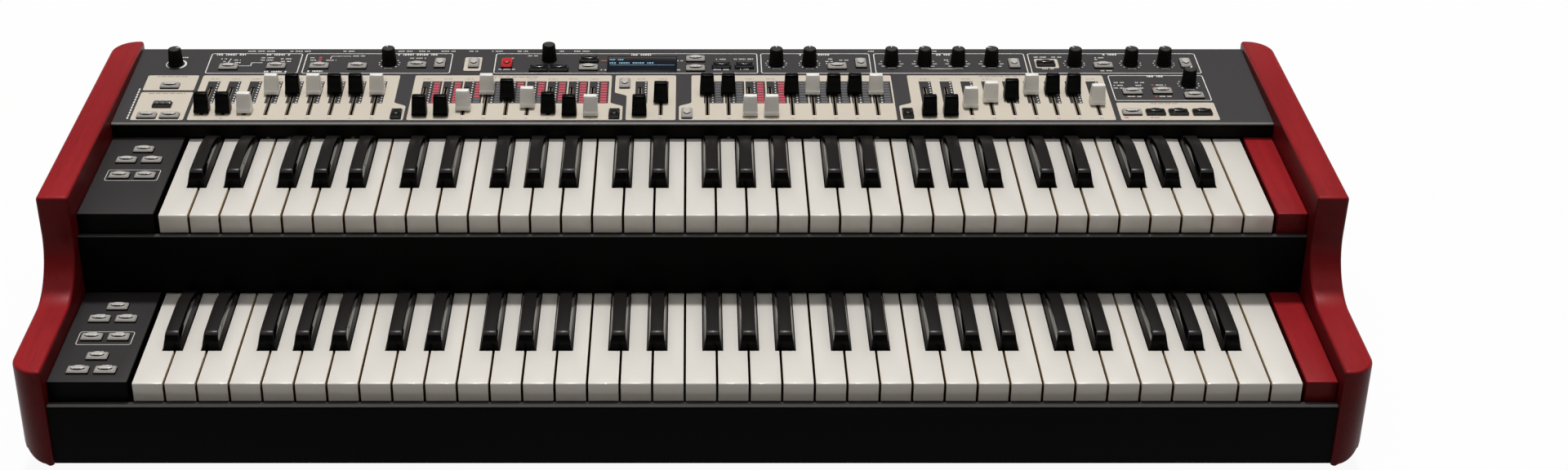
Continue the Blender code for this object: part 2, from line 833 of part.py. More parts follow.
def display_buttons():
    """The places of the two buttons right of the display."""
    return [(DISPLAY_LEFT + DISPLAY_WIDTH + DISPLAY_BUTTON_GAP, y) for y in DISPLAY_BUTTONS]


def button_places():
    """Each panel button's place, length across and depth."""
    wide = (*REAR_BUTTONS, *display_buttons(), *LEFT_COLUMN, *LEFT_PAIR, *reverb_buttons(), *preset_row())
    tall = (*REAR_TALL_BUTTONS, *group_buttons())
    across = [(*panel_place(*place), BUTTON_LENGTH, BUTTON_WIDTH) for place in wide]
    along = [(*panel_place(*place), BUTTON_WIDTH, BUTTON_LENGTH) for place in tall]
    return across + along


def make_control_panel(material, frame):
    """The folded sheet that carries the drawbars, knobs and buttons, with all its openings."""
    edge = arc((0, -PANEL_ROUND), PANEL_ROUND, 180, 90, ROUND_STEPS)
    outline = [
        *edge,
        (PANEL_LENGTH, 0),
        (PANEL_LENGTH, -PANEL_REAR_LIP),
        (PANEL_LENGTH - PLATE, -PANEL_REAR_LIP),
        (PANEL_LENGTH - PLATE, -SHEET),
        (SHEET - PANEL_ROUND, -SHEET),
        (SHEET - PANEL_ROUND, -PANEL_SKIRT),
        (-PANEL_ROUND, -PANEL_SKIRT),
    ]
    sheet = prism([outline], LEFT + GAP, RIGHT - GAP, SIDE_VIEW)
    low = -2 * SHEET
    high = SHEET
    openings = []
    for x, _ in drawbars():
        half = SLOT_WIDTH / 2
        openings.append(((x - half, SLOT_FRONT, low), (x + half, SLOT_FRONT + SLOT_LENGTH, high)))
    for x, y, length, width in button_places():
        across = length / 2 + BUTTON_GAP
        along = width / 2 + BUTTON_GAP
        openings.append(((x - across, y - along, low), (x + across, y + along, high)))
    display = panel_place(DISPLAY_LEFT, DISPLAY_FRONT)
    openings.append(((*display, low), (display[0] + DISPLAY_WIDTH, display[1] + DISPLAY_DEPTH, high)))
    holes = []
    for place in KNOBS.values():
        hole = rod(SHAFT_RADIUS + SHAFT_GAP, low, high, HOLE_STEPS)
        holes.append(moved(hole, Matrix.Translation((*panel_place(*place), 0))))
    panel = cut(sheet, boxes(openings), gathered(holes))
    add_part("control_panel", panel, material, parent=frame)


def make_display_window(material, frame):
    """The window over the display, let into the panel."""
    x, y = panel_place(DISPLAY_LEFT, DISPLAY_FRONT)
    low = (x + GAP, y + GAP, -SHEET)
    high = (x + DISPLAY_WIDTH - GAP, y + DISPLAY_DEPTH - GAP, 0)
    add_part("display_window", box(low, high), material, parent=frame)


def cap_mesh(x, setting):
    """A drawbar's cap: scooped in front, sloped behind, and narrower on top."""
    front = CAP_FRONT + (FULL_SETTING - setting) * DRAWBAR_STEP
    low = CAP_LIFT
    high = CAP_LIFT + CAP_HEIGHT
    outline = [
        (front, low),
        (front + CAP_LENGTH, low),
        (front + CAP_LENGTH, low + 0.15 * CAP_HEIGHT),
        (front + 0.80 * CAP_LENGTH, high - 0.06 * CAP_HEIGHT),
        (front + 0.70 * CAP_LENGTH, high),
        (front + 0.40 * CAP_LENGTH, high),
        (front + 0.31 * CAP_LENGTH, high - 0.08 * CAP_HEIGHT),
        (front + 0.22 * CAP_LENGTH, low + 0.50 * CAP_HEIGHT),
        (front + 0.10 * CAP_LENGTH, low + 0.25 * CAP_HEIGHT),
        (front, low + 0.14 * CAP_HEIGHT),
    ]
    half = CAP_WIDTH / 2
    mesh = prism([outline], -half, half, SIDE_VIEW)
    for vert in mesh.vertices:
        share = (vert.co.z - low) / CAP_HEIGHT
        vert.co.x *= 1 + share * (CAP_TOP_WIDTH / CAP_WIDTH - 1)
    return moved(mesh, Matrix.Translation((x, 0, 0)))


def make_drawbar_bank(setting, level, places, material, frame):
    """The drawbars at one setting: their caps and stems, and the bar that joins them under the panel."""
    cap_front = CAP_FRONT + (FULL_SETTING - setting) * DRAWBAR_STEP
    stem_front = cap_front + STEM_BEHIND_CAP_FRONT - STEM_LENGTH / 2
    bar_front = stem_front + STEM_LENGTH / 2 + LINK_BEHIND_STEM - BAR_WIDTH / 2
    high = -SHEET - BARS_BELOW_PANEL - level * BAR_SPACING
    low = high - BAR_THICKNESS
    half = STEM_WIDTH / 2
    inset = BAR_THICKNESS / 4
    spine = box((places[0] - half, bar_front, low), (places[-1] + half, bar_front + BAR_WIDTH, high))
    arm_half = half - GAP / 4
    arm_rear = bar_front + BAR_WIDTH / 2
    arms = [((x - arm_half, stem_front, low + inset), (x + arm_half, arm_rear, high - inset)) for x in places]
    stem_half = half - GAP / 2
    stem_low = low + 1.5 * inset
    stem_rear = stem_front + STEM_LENGTH
    stems = [
        ((x - stem_half, stem_front + GAP, stem_low), (x + stem_half, stem_rear, 2 * CAP_LIFT)) for x in places
    ]
    caps = gathered([cap_mesh(x, setting) for x in places])
    bank = joined(spine, boxes(arms), boxes(stems), caps)
    add_part(f"drawbars_at_{setting}", bank, material, parent=frame)


def make_knob(name, place, material, frame):
    """A knob with its shaft, turning about its own origin."""
    base = KNOB_LIFT
    top = KNOB_LIFT + KNOB_HEIGHT
    foot = -PANEL_BOARD_DROP + GAP
    profile = [
        (0, top),
        (KNOB_TOP_RADIUS - KNOB_CHAMFER, top),
        (KNOB_TOP_RADIUS, top - KNOB_CHAMFER),
        (KNOB_RADIUS, base),
        (SHAFT_RADIUS, base),
        (SHAFT_RADIUS, foot),
        (0, foot),
    ]
    add_part(name, smooth(turned(profile)), material, (*panel_place(*place), 0), frame)


def web_branch(from_left, start, end, low, high):
    """The corners of a narrow branch of the web, running front to back."""
    x, _ = panel_place(from_left, start)
    return (x - WEB_BRANCH / 2, start, low), (x + WEB_BRANCH / 2, end, high)


def web_row(row, low, high):
    """The corners of a narrow strip of the web under a row of buttons."""
    left = min(x for x, y in row)
    right = max(x for x, y in row)
    y = row[0][1]
    return (LEFT + left, y - WEB_BRANCH / 2, low), (LEFT + right, y + WEB_BRANCH / 2, high)


def make_panel_buttons(material, frame):
    """The panel's keypad: its buttons on one branching web that clears the slots and shafts."""
    high = -SHEET - GAP
    low = high - WEB_THICKNESS
    inner_low = low + WEB_THICKNESS / 6
    inner_high = high - WEB_THICKNESS / 6
    strip_rear = WEB_FRONT + WEB_DEPTH
    into_front = WEB_FRONT + WEB_BRANCH / 2
    into_rear = strip_rear - WEB_BRANCH / 2
    reach = {}
    for x, y in (*REAR_BUTTONS, *display_buttons(), *REAR_TALL_BUTTONS):
        reach[x] = max(y, reach.get(x, y))
    branches = [web_branch(x, into_rear, y, inner_low, inner_high) for x, y in reach.items()]
    branches += [web_branch(x, y, into_front, inner_low, inner_high) for x, y in group_buttons()]
    branches.append(web_branch(LEFT_COLUMN[0][0], LEFT_PAIR[0][1], into_front, inner_low, inner_high))
    first, second, third = reverb_buttons()
    branches.append(web_branch(first[0], PRESET_FRONT, into_front, inner_low, inner_high))
    branches.append(web_branch(*second, into_front, inner_low, inner_high))
    branches.append(web_branch(third[0], PRESET_FRONT, third[1], inner_low, inner_high))
    rows = [web_row(LEFT_PAIR, low, high), web_row(preset_row(), low, high)]
    places = button_places()
    left = min(place[0] for place in places)
    right = max(place[0] for place in places)
    strip = box((left, WEB_FRONT, low), (right, strip_rear, high))
    foot = (low + high) / 2
    buttons = [button_solid(x, y, length, width, foot, BUTTON_RISE) for x, y, length, width in places]
    add_part(
        "panel_buttons", joined(strip, boxes(branches), boxes(rows), gathered(buttons)), material, parent=frame
    )


def make_panel_board(material, frame):
    """The circuit board under the panel's rear half, hung from the panel by its posts."""
    high = -PANEL_BOARD_DROP
    left = LEFT + PANEL_BOARD_END
    right = RIGHT - PANEL_BOARD_END
    board = box((left, PANEL_BOARD_FRONT, high - BOARD), (right, PANEL_BOARD_REAR, high))
    start = PANEL_BOARD_REAR - 1.5 * POST
    places = [left + POST / 2, left / 3, right / 3, right - 1.5 * POST]
    posts = [((x, start, high - BOARD / 2), (x + POST, start + POST, -SHEET - GAP)) for x in places]
    add_part("panel_board", joined(board, boxes(posts)), material, parent=frame)


def socket_row():
    """The centre of each socket behind the rear panel, and its kind."""
    kinds = ["jack"] * JACKS + ["data"] * DATA_SOCKETS + ["usb"]
    return [(LEFT + SOCKET_ROW_LEFT + index * SOCKET_PITCH, kind) for index, kind in enumerate(kinds)]


def socket_shape(kind, grow, low, high):
    """A socket's outline along Y between two distances: round for a jack or data socket, square for USB."""
    if kind == "usb":
        half_x, half_z = (size / 2 + grow for size in USB_OUTER)
        return box((-half_x, low, -half_z), (half_x, high, half_z))
    radius = JACK_COLLAR if kind == "jack" else DATA_COLLAR
    return moved(rod(radius + grow, low, high, HOLE_STEPS), ALONG_Y)


def socket_bore(kind, face):
    """The hollow of a socket, cut in from its face."""
    if kind == "usb":
        half_x, half_z = (size / 2 for size in USB_INNER)
        return box((-half_x, face - USB_DEPTH, -half_z), (half_x, face + PLATE, half_z))
    radius, depth = (JACK_BORE, JACK_DEPTH) if kind == "jack" else (DATA_BORE, DATA_DEPTH)
    return moved(rod(radius, face - depth, face + PLATE, HOLE_STEPS), ALONG_Y)


def make_connector_row(material):
    """The block of sockets behind the rear panel, its collars standing through the panel."""
    sockets = socket_row()
    inner = REAR_INNER - GAP
    face = REAR_FACE + COLLAR_LENGTH
    half = SOCKET_PITCH / 2
    low = (sockets[0][0] - half, inner - SOCKET_BODY_DEPTH, SOCKET_CENTRE_HEIGHT - SOCKET_BODY_HEIGHT / 2)
    high = (sockets[-1][0] + half, inner, SOCKET_CENTRE_HEIGHT + SOCKET_BODY_HEIGHT / 2)
    places = [Matrix.Translation((x, 0, SOCKET_CENTRE_HEIGHT)) for x, _ in sockets]
    collars = [
        moved(socket_shape(kind, 0, inner - SHEET, face), place) for (_, kind), place in zip(sockets, places)
    ]
    bores = [moved(socket_bore(kind, face), place) for (_, kind), place in zip(sockets, places)]
    block = joined(box(low, high), gathered(collars))
    add_part("connector_row", smooth(cut(block, gathered(bores))), material)


def inlet_centre():
    """The centre of the mains inlet and switch on the rear panel."""
    return RIGHT - INLET_RIGHT, SOCKET_CENTRE_HEIGHT


def upright(x, z, size, low, high):
    """The corners of a box behind or before the rear panel, given its size across and up."""
    return (x - size[0] / 2, low, z - size[1] / 2), (x + size[0] / 2, high, z + size[1] / 2)


def rocker_reach():
    """How far the rocker's corners stand from its axis."""
    return math.hypot(ROCKER_BODY_DEPTH, ROCKER_SIZE[1] / 2)


def make_mains_inlet(material):
    """The inlet with its recess and the pocket of the power switch."""
    x, z = inlet_centre()
    seat = REAR_FACE + GAP
    face = seat + INLET_FLANGE_THICKNESS
    body = box(*upright(x, z, INLET_SIZE, REAR_FACE - INLET_DEPTH, seat + INLET_FLANGE_THICKNESS / 2))
    flange_size = [size + 2 * INLET_FLANGE for size in INLET_SIZE]
    flange = box(*upright(x, z, flange_size, seat, face))
    recess = upright(x - INLET_RECESS_OFFSET, z, INLET_RECESS, face - INLET_RECESS_DEPTH, face + PLATE)
    pocket_size = (ROCKER_SIZE[0] + 2 * GAP, 2 * rocker_reach() + 2 * GAP)
    pocket = upright(x + ROCKER_OFFSET, z, pocket_size, face - ROCKER_POCKET_DEPTH, face + PLATE)
    add_part("mains_inlet", cut(joined(body, flange), boxes([recess, pocket])), material)


def make_power_switch(material):
    """The rocker of the power switch, at rest with its upper half pressed in."""
    x, z = inlet_centre()
    face = REAR_FACE + GAP + INLET_FLANGE_THICKNESS
    origin = (x + ROCKER_OFFSET, face - ROCKER_AXIS_DEPTH, z)
    half = ROCKER_SIZE[1] / 2
    valley = ROCKER_BODY_DEPTH - half * math.tan(ROCKER_THROW / 2)
    waist = ROCKER_BODY_DEPTH / 8
    back = -ROCKER_BODY_DEPTH * 3 / 4
    outline = [
        (valley, 0),
        (ROCKER_BODY_DEPTH, half),
        (waist, half),
        (back, half / 2),
        (back, -half / 2),
        (waist, -half),
        (ROCKER_BODY_DEPTH, -half),
    ]
    rocker = prism([outline], -ROCKER_SIZE[0] / 2, ROCKER_SIZE[0] / 2, SIDE_VIEW)
    add_part("power_switch", moved(rocker, Matrix.Rotation(ROCKER_THROW / 2, 4, "X")), material, origin)


def make_rear_panel(material):
    """The rear panel, open for the sockets and the mains inlet."""
    top = PANEL_TOP + (REAR_INNER - PANEL_FRONT) * math.tan(PANEL_TILT) - SHEET / math.cos(PANEL_TILT) - GAP
    sheet = box((LEFT + GAP, REAR_INNER, PLATE_TOP + GAP), (RIGHT - GAP, REAR_FACE, top))
    openings = []
    for x, kind in socket_row():
        opening = socket_shape(kind, COLLAR_GAP, REAR_INNER - PLATE, REAR_FACE + PLATE)
        openings.append(moved(opening, Matrix.Translation((x, 0, SOCKET_CENTRE_HEIGHT))))
    size = [side + 2 * COLLAR_GAP for side in INLET_SIZE]
    openings.append(box(*upright(*inlet_centre(), size, REAR_INNER - PLATE, REAR_FACE + PLATE)))
    add_part("rear_panel", cut(sheet, gathered(openings)), material)


def make_bottom_plate(material):
    """The flat plate that the rail, the rear panel and the boards stand on."""
    front = FRONT + RAIL_SETBACK + SHEET + GAP
    add_part("bottom_plate", box((LEFT + GAP, front, FOOT_HEIGHT), (RIGHT - GAP, REAR_FACE, PLATE_TOP)), material)


def make_main_board(material):
    """The main circuit board on its standoffs, with its larger chips."""
    length, width = MAIN_BOARD_SIZE
    low = PLATE_TOP + MAIN_BOARD_RISE
    high = low + BOARD
    left = LEFT + SOCKET_ROW_LEFT
    rear = MAIN_BOARD_FRONT + width
    board = box((left, MAIN_BOARD_FRONT, low), (left + length, rear, high))
    columns = [left + POST, left + length / 2, left + length - 2 * POST]
    rows = [MAIN_BOARD_FRONT + POST, rear - 2 * POST]
    legs = [((x, y, PLATE_TOP + GAP), (x + POST, y + POST, low + BOARD / 2)) for x in columns for y in rows]
    chips = []
    for share in (0.25, 0.5, 0.75):
        x = left + share * length
        y = MAIN_BOARD_FRONT + width / 2
        chips.append(((x, y, low + BOARD / 2), (x + CHIP[0], y + CHIP[1], high + CHIP[2])))
    add_part("main_board", joined(board, boxes(legs), boxes(chips)), material)


def make_power_supply(material):
    """The vented case of the power supply."""
    length, width, height = SUPPLY_SIZE
    left = RIGHT - SUPPLY_RIGHT - length
    low = (left, SUPPLY_FRONT, PLATE_TOP + GAP)
    high = (left + length, SUPPLY_FRONT + width, PLATE_TOP + GAP + height)
    inside = box([side + SUPPLY_WALL for side in low], [side - SUPPLY_WALL for side in high])
    vents = []
    for index in range(VENTS):
        x = left + (index + 1) * length / (VENTS + 1)
        start = SUPPLY_FRONT + width / 5
        vents.append(((x, start, high[2] - 2 * SUPPLY_WALL), (x + VENT_WIDTH, start + width * 3 / 5, high[2] + PLATE)))
    add_part("power_supply", cut(box(low, high), inside, boxes(vents)), material)


def make_feet(material):
    """Four rubber feet under the bottom plate."""
    top = FOOT_HEIGHT - GAP
    profile = [(0, top), (FOOT_RADIUS, top), (FOOT_RADIUS, top / 2), (FOOT_BOTTOM_RADIUS, 0), (0, 0)]
    for row, y in (("front", FRONT + FOOT_INSET_Y), ("rear", REAR - FOOT_INSET_Y)):
        for side, x in (("left", LEFT + FOOT_INSET_X), ("right", RIGHT - FOOT_INSET_X)):
            add_part(f"foot_{row}_{side}", smooth(turned(profile)), material, (x, y, 0))


def build():
    """Builds every part of the organ."""
    lacquer = make_material("red_lacquer", (0.33, 0.022, 0.03), 0.35)
    black_paint = make_material("black_paint", (0.008, 0.008, 0.009), 0.5)
    panel_paint = make_material("panel_paint", (0.06, 0.055, 0.058), 0.5)
    ivory = make_material("ivory_plastic", (0.72, 0.69, 0.62), 0.3)
    ebony = make_material("black_plastic", (0.01, 0.01, 0.01), 0.25)
    grey = make_material("button_plastic", (0.38, 0.36, 0.34), 0.5)
    rubber = make_material("rubber", (0.02, 0.02, 0.02), 0.8)
    steel = make_material("zinc_steel", (0.55, 0.55, 0.53), 0.4, 1.0)
    aluminium = make_material("plain_aluminium", (0.6, 0.6, 0.59), 0.45, 1.0)
    board = make_material("circuit_board", (0.02, 0.12, 0.05), 0.5)
    glass = make_material("display_glass", (0.01, 0.015, 0.03), 0.08)

    make_cheek("cheek_left", -1, lacquer)
    make_cheek("cheek_right", 1, lacquer)
    make_bottom_plate(aluminium)
    make_feet(rubber)
    make_front_rail(black_paint)
    make_fascia(black_paint)
    make_rear_panel(black_paint)

    for manual, front, top, rows in (
        ("lower", LOWER_KEY_FRONT, LOWER_KEY_TOP, LOWER_BLOCK_ROWS),
        ("upper", UPPER_KEY_FRONT, UPPER_KEY_TOP, UPPER_BLOCK_ROWS),
    ):
        make_keyboard(manual, front, top, ivory, ebony)
        make_keybed(f"{manual}_keybed", front, top, aluminium)
        make_left_block(f"{manual}_left_block", front, top, rows, panel_paint)
        make_right_block(f"{manual}_right_block", front, top, lacquer)
        make_block_buttons(f"{manual}_block_buttons", front, top, rows, grey)

    frame = bpy.data.objects.new("panel_frame", None)
    frame.location = (0, PANEL_FRONT, PANEL_TOP)
    frame.rotation_euler = (PANEL_TILT, 0, 0)
    organ.objects.link(frame)
    make_control_panel(panel_paint, frame)
    make_display_window(glass, frame)
    make_panel_board(board, frame)
    make_panel_buttons(grey, frame)
    for name, place in KNOBS.items():
        make_knob(name, place, ebony, frame)
    bars = drawbars()
    settings = sorted({setting for _, setting in bars}, reverse=True)
    for level, setting in enumerate(settings):
        places = [x for x, found in bars if found == setting]
        make_drawbar_bank(setting, level, places, ebony, frame)

    make_connector_row(ebony)
    make_mains_inlet(ebony)
    make_power_switch(ebony)
    make_main_board(board)
    make_power_supply(steel)


clear_scene()
organ = make_collection("combo_organ")
build()
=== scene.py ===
"""Dresses the combo organ: cheeks, keyboards, control panel, drawbars, knobs, buttons and the studio."""

import logging
import math
from collections.abc import Callable, Iterable, Sequence
from dataclasses import dataclass, field
from enum import Enum
from functools import cache

import bmesh
import bpy
from mathutils import Matrix, Vector

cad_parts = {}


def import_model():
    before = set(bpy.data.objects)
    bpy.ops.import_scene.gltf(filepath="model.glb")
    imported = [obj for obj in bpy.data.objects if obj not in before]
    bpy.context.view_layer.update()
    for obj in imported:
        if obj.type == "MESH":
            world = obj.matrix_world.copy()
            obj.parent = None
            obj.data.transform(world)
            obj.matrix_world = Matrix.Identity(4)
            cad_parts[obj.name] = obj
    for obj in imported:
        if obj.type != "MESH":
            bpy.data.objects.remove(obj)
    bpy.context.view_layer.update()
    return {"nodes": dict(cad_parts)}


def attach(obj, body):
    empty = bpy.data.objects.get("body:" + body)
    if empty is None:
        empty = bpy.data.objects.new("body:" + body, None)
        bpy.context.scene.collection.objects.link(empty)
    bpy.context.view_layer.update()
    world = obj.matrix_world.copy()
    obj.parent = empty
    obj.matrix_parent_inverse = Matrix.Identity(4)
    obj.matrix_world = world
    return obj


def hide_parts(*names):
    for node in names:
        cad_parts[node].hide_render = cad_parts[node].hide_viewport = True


Point2 = tuple[float, float]
Point3 = tuple[float, float, float]
Edge = bmesh.types.BMEdge
Face = bmesh.types.BMFace
EdgeTest = Callable[[Edge], bool]
FaceTest = Callable[[Face], bool]

log = logging.getLogger("combo_organ")

MM = 0.001
GAP = 0.0003

# The main lines of the organ, which the solids share
LEFT = -0.466
RIGHT = 0.466
FRONT = -0.205
REAR = 0.205
KEYBOARD_LEFT = -0.4051
KEY_PITCH = 0.0235
WHITE_KEYS = 36
LOWER_KEY_FRONT = -0.1937
UPPER_KEY_FRONT = -0.0614
LOWER_KEY_TOP = 0.0719
UPPER_KEY_TOP = 0.1381
KEY_LENGTH = 0.1295
BLOCK_RISE = 0.0015
BLOCK_DROP = 0.0255

# The control panel's own frame: x to the right, y up its slope from its front edge, z out of it
PANEL = Matrix.Translation((0.0, 0.0685, 0.1523)) @ Matrix.Rotation(math.radians(2.1), 4, "X")
# A side view drawn in X and Y, stood up in Y and Z with its thickness along X
SIDE_VIEW = Matrix(((0, 0, 1, 0), (1, 0, 0, 0), (0, 1, 0, 0), (0, 0, 0, 1)))
# A shape turned about Z, laid down to point along +Y
TO_THE_REAR = Matrix.Rotation(-math.pi / 2, 4, "X")
# A drawing in X and Y, stood up so that it reads from behind
FACING_REAR = Matrix(((-1, 0, 0, 0), (0, 0, 1, 0), (0, 1, 0, 0), (0, 0, 0, 1)))


def linear(level: float) -> float:
    """Returns the linear value of one colour level from 0 to 255."""
    share = level / 255
    return share / 12.92 if share <= 0.04045 else ((share + 0.055) / 1.055) ** 2.4


def shade(red: float, green: float, blue: float) -> tuple[float, float, float, float]:
    """Returns a shader's colour for levels from 0 to 255."""
    return linear(red), linear(green), linear(blue), 1.0


def dimmed(colour: Sequence[float], share: float) -> tuple[float, ...]:
    """Returns a shader's colour dimmed to a share of itself."""
    return (*(level * share for level in colour[:3]), 1.0)


class NodeBuilder:
    """Adds nodes to a material's tree or to a group's, and links them."""

    def __init__(self, tree: bpy.types.NodeTree) -> None:
        """Holds the tree that the nodes go into."""
        self.tree = tree

    def add(self, kind: str, settings: dict[str, object] | None = None, **inputs: object) -> bpy.types.Node:
        """Adds a node and feeds its inputs.

        Args:
            kind: The node's type name.
            settings: Attributes of the node itself.
            inputs: Values or sockets for its inputs, by input name with underscores for spaces.

        Returns:
            The new node.
        """
        node = self.tree.nodes.new(kind)
        for name, value in (settings or {}).items():
            setattr(node, name, value)
        for name, value in inputs.items():
            self.feed(node.inputs[name.replace("_", " ")], value)
        return node

    def feed(self, socket: bpy.types.NodeSocket, value: object) -> None:
        """Links a socket to another one, or sets its value.

        Args:
            socket: The socket that is fed.
            value: The other socket, or the value.
        """
        if isinstance(value, bpy.types.NodeSocket):
            self.tree.links.new(value, socket)
        else:
            socket.default_value = value

    def chain(self, kind: str, *values: object, **settings: object) -> bpy.types.NodeSocket:
        """Adds a node and feeds its inputs in order.

        Args:
            kind: The node's type name.
            values: Values or sockets, from the first input on.
            settings: Attributes of the node itself.

        Returns:
            The node's first output.
        """
        node = self.add(kind, settings)
        for socket, value in zip(node.inputs, values):
            self.feed(socket, value)
        return node.outputs[0]

    def maths(self, operation: str, *values: object) -> bpy.types.NodeSocket:
        """Adds a sum of numbers, and returns its output."""
        return self.chain("ShaderNodeMath", *values, operation=operation)

    def stretch(self, vector: object, factors: object) -> bpy.types.NodeSocket:
        """Multiplies a vector by a factor on each axis, and returns the output."""
        return self.chain("ShaderNodeVectorMath", vector, factors, operation="MULTIPLY")

    def noise(self, vector: object, scale: object, **inputs: object) -> bpy.types.NodeSocket:
        """Adds noise, and returns its level."""
        return self.add("ShaderNodeTexNoise", Vector=vector, Scale=scale, **inputs).outputs["Fac"]

    def spread(self, value: object, low: float, high: float) -> bpy.types.NodeSocket:
        """Spreads the levels between two values over 0 to 1, and returns the output."""
        return self.add("ShaderNodeMapRange", Value=value, From_Min=low, From_Max=high).outputs["Result"]

    def group(self, tree: bpy.types.NodeTree, **inputs: object) -> bpy.types.NodeOutputs:
        """Places a node group, and returns its outputs."""
        return self.add("ShaderNodeGroup", {"node_tree": tree}, **inputs).outputs

    def mix(self, factor: object, first: object, second: object) -> bpy.types.NodeSocket:
        """Mixes two colours.

        Args:
            factor: The share of the second colour.
            first: A colour or a socket.
            second: A colour or a socket.

        Returns:
            The mixed colour's socket.
        """
        node = self.add("ShaderNodeMix", {"data_type": "RGBA"})
        self.feed(node.inputs["Factor"], factor)
        self.feed(node.inputs[6], first)
        self.feed(node.inputs[7], second)
        return node.outputs[2]


VECTOR = "NodeSocketVector"
COLOUR = "NodeSocketColor"
NUMBER = "NodeSocketFloat"


def start_group(
    name: str, inputs: dict[str, str], outputs: dict[str, str]
) -> tuple[NodeBuilder, bpy.types.NodeOutputs, bpy.types.NodeInputs]:
    """Starts a shader node group that several finishes share.

    Args:
        name: The group's name.
        inputs: Socket types by input name.
        outputs: Socket types by output name.

    Returns:
        The group's builder, the sockets that it is given and the sockets that it has to feed.
    """
    tree = bpy.data.node_groups.new(name, "ShaderNodeTree")
    for direction, sockets in (("INPUT", inputs), ("OUTPUT", outputs)):
        for label, kind in sockets.items():
            tree.interface.new_socket(name=label, in_out=direction, socket_type=kind)
    given = tree.nodes.new("NodeGroupInput").outputs
    return NodeBuilder(tree), given, tree.nodes.new("NodeGroupOutput").inputs


@cache
def soft_variation() -> bpy.types.NodeTree:
    """Builds the group for slow changes of tone and gloss over a surface.

    Returns:
        The group's tree.
    """
    inputs = {"Vector": VECTOR, "Colour": COLOUR, "Darker Colour": COLOUR}
    inputs |= {"Scale": NUMBER, "Roughness": NUMBER, "Gloss Change": NUMBER}
    build, given, out = start_group("Soft variation", inputs, {"Colour": COLOUR, "Roughness": NUMBER})
    tone = build.spread(build.noise(given["Vector"], given["Scale"], Detail=3.0), 0.35, 0.65)
    build.feed(out["Colour"], build.mix(tone, given["Colour"], given["Darker Colour"]))
    finer = build.maths("MULTIPLY", given["Scale"], 9.0)
    smudge = build.noise(given["Vector"], finer, Detail=5.0, Roughness=0.6)
    change = build.maths("MULTIPLY", build.maths("SUBTRACT", smudge, 0.5), given["Gloss Change"])
    build.feed(out["Roughness"], build.maths("ADD", given["Roughness"], change))
    return build.tree


@cache
def painted_upright_shade() -> bpy.types.NodeTree:
    """Builds the group that darkens upright faces as painted shade.

    Returns:
        The group's tree.
    """
    inputs = {"Colour": COLOUR, "Upright Share": NUMBER}
    build, given, out = start_group("Painted upright shade", inputs, {"Colour": COLOUR})
    apart = build.add("ShaderNodeSeparateXYZ", Vector=build.add("ShaderNodeTexCoord").outputs["Normal"])
    share = build.add("ShaderNodeMapRange", Value=apart.outputs["Z"], From_Min=0.1, From_Max=0.75)
    build.feed(share.inputs["To Min"], given["Upright Share"])
    deep = build.add("ShaderNodeVectorMath", {"operation": "SCALE"}, Scale=share.outputs["Result"])
    build.feed(deep.inputs[0], given["Colour"])
    build.feed(out["Colour"], deep.outputs["Vector"])
    return build.tree


@cache
def fine_texture() -> bpy.types.NodeTree:
    """Builds the group for the fine height of powder coat, moulded plastic and brushed metal.

    Returns:
        The group's tree.
    """
    inputs = {"Vector": VECTOR, "Stretch": VECTOR, "Scale": NUMBER}
    build, given, out = start_group("Fine texture", inputs, {"Height": NUMBER})
    stretched = build.stretch(given["Vector"], given["Stretch"])
    build.feed(out["Height"], build.noise(stretched, given["Scale"], Detail=2.0))
    return build.tree


@cache
def wood_grain() -> bpy.types.NodeTree:
    """Builds the group for the wood figure that shows through stained lacquer.

    Returns:
        The group's tree.
    """
    inputs = {"Vector": VECTOR, "Stretch": VECTOR, "Scale": NUMBER, "Colour": COLOUR, "Pore Colour": COLOUR}
    build, given, out = start_group("Wood grain", inputs, {"Colour": COLOUR, "Height": NUMBER})
    stretched = build.stretch(given["Vector"], given["Stretch"])
    figure = build.noise(stretched, given["Scale"], Detail=4.0, Distortion=0.4)
    pores = build.noise(stretched, build.maths("MULTIPLY", given["Scale"], 6.0), Detail=3.0, Roughness=0.65)
    open_pores = build.spread(pores, 0.52, 0.74)
    faint = build.maths("MULTIPLY", build.spread(figure, 0.3, 0.7), 0.35)
    share = build.maths("ADD", faint, build.maths("MULTIPLY", open_pores, 0.55))
    build.feed(out["Colour"], build.mix(share, given["Colour"], given["Pore Colour"]))
    build.feed(out["Height"], build.maths("SUBTRACT", 1.0, open_pores))
    return build.tree


class Texture(Enum):
    """What the surface of a finish is like close up: noise scale, stretch and bump height in metres."""

    PLAIN = (260.0, (1.0, 1.0, 1.0), 0.0)
    SMOOTH = (260.0, (1.0, 1.0, 1.0), 0.000002)
    MOULDED = (2400.0, (1.0, 1.0, 1.0), 0.000025)
    POWDER = (1700.0, (1.0, 1.0, 1.0), 0.00005)
    BRUSHED = (900.0, (0.02, 1.0, 1.0), 0.00002)
    WOOD = (150.0, (1.0, 0.045, 1.0), 0.00003)


# How close the slow changes of tone lie, and how dark the pores of the wood are
TONE_SCALE = 14.0
PORE_SHARE = 0.55


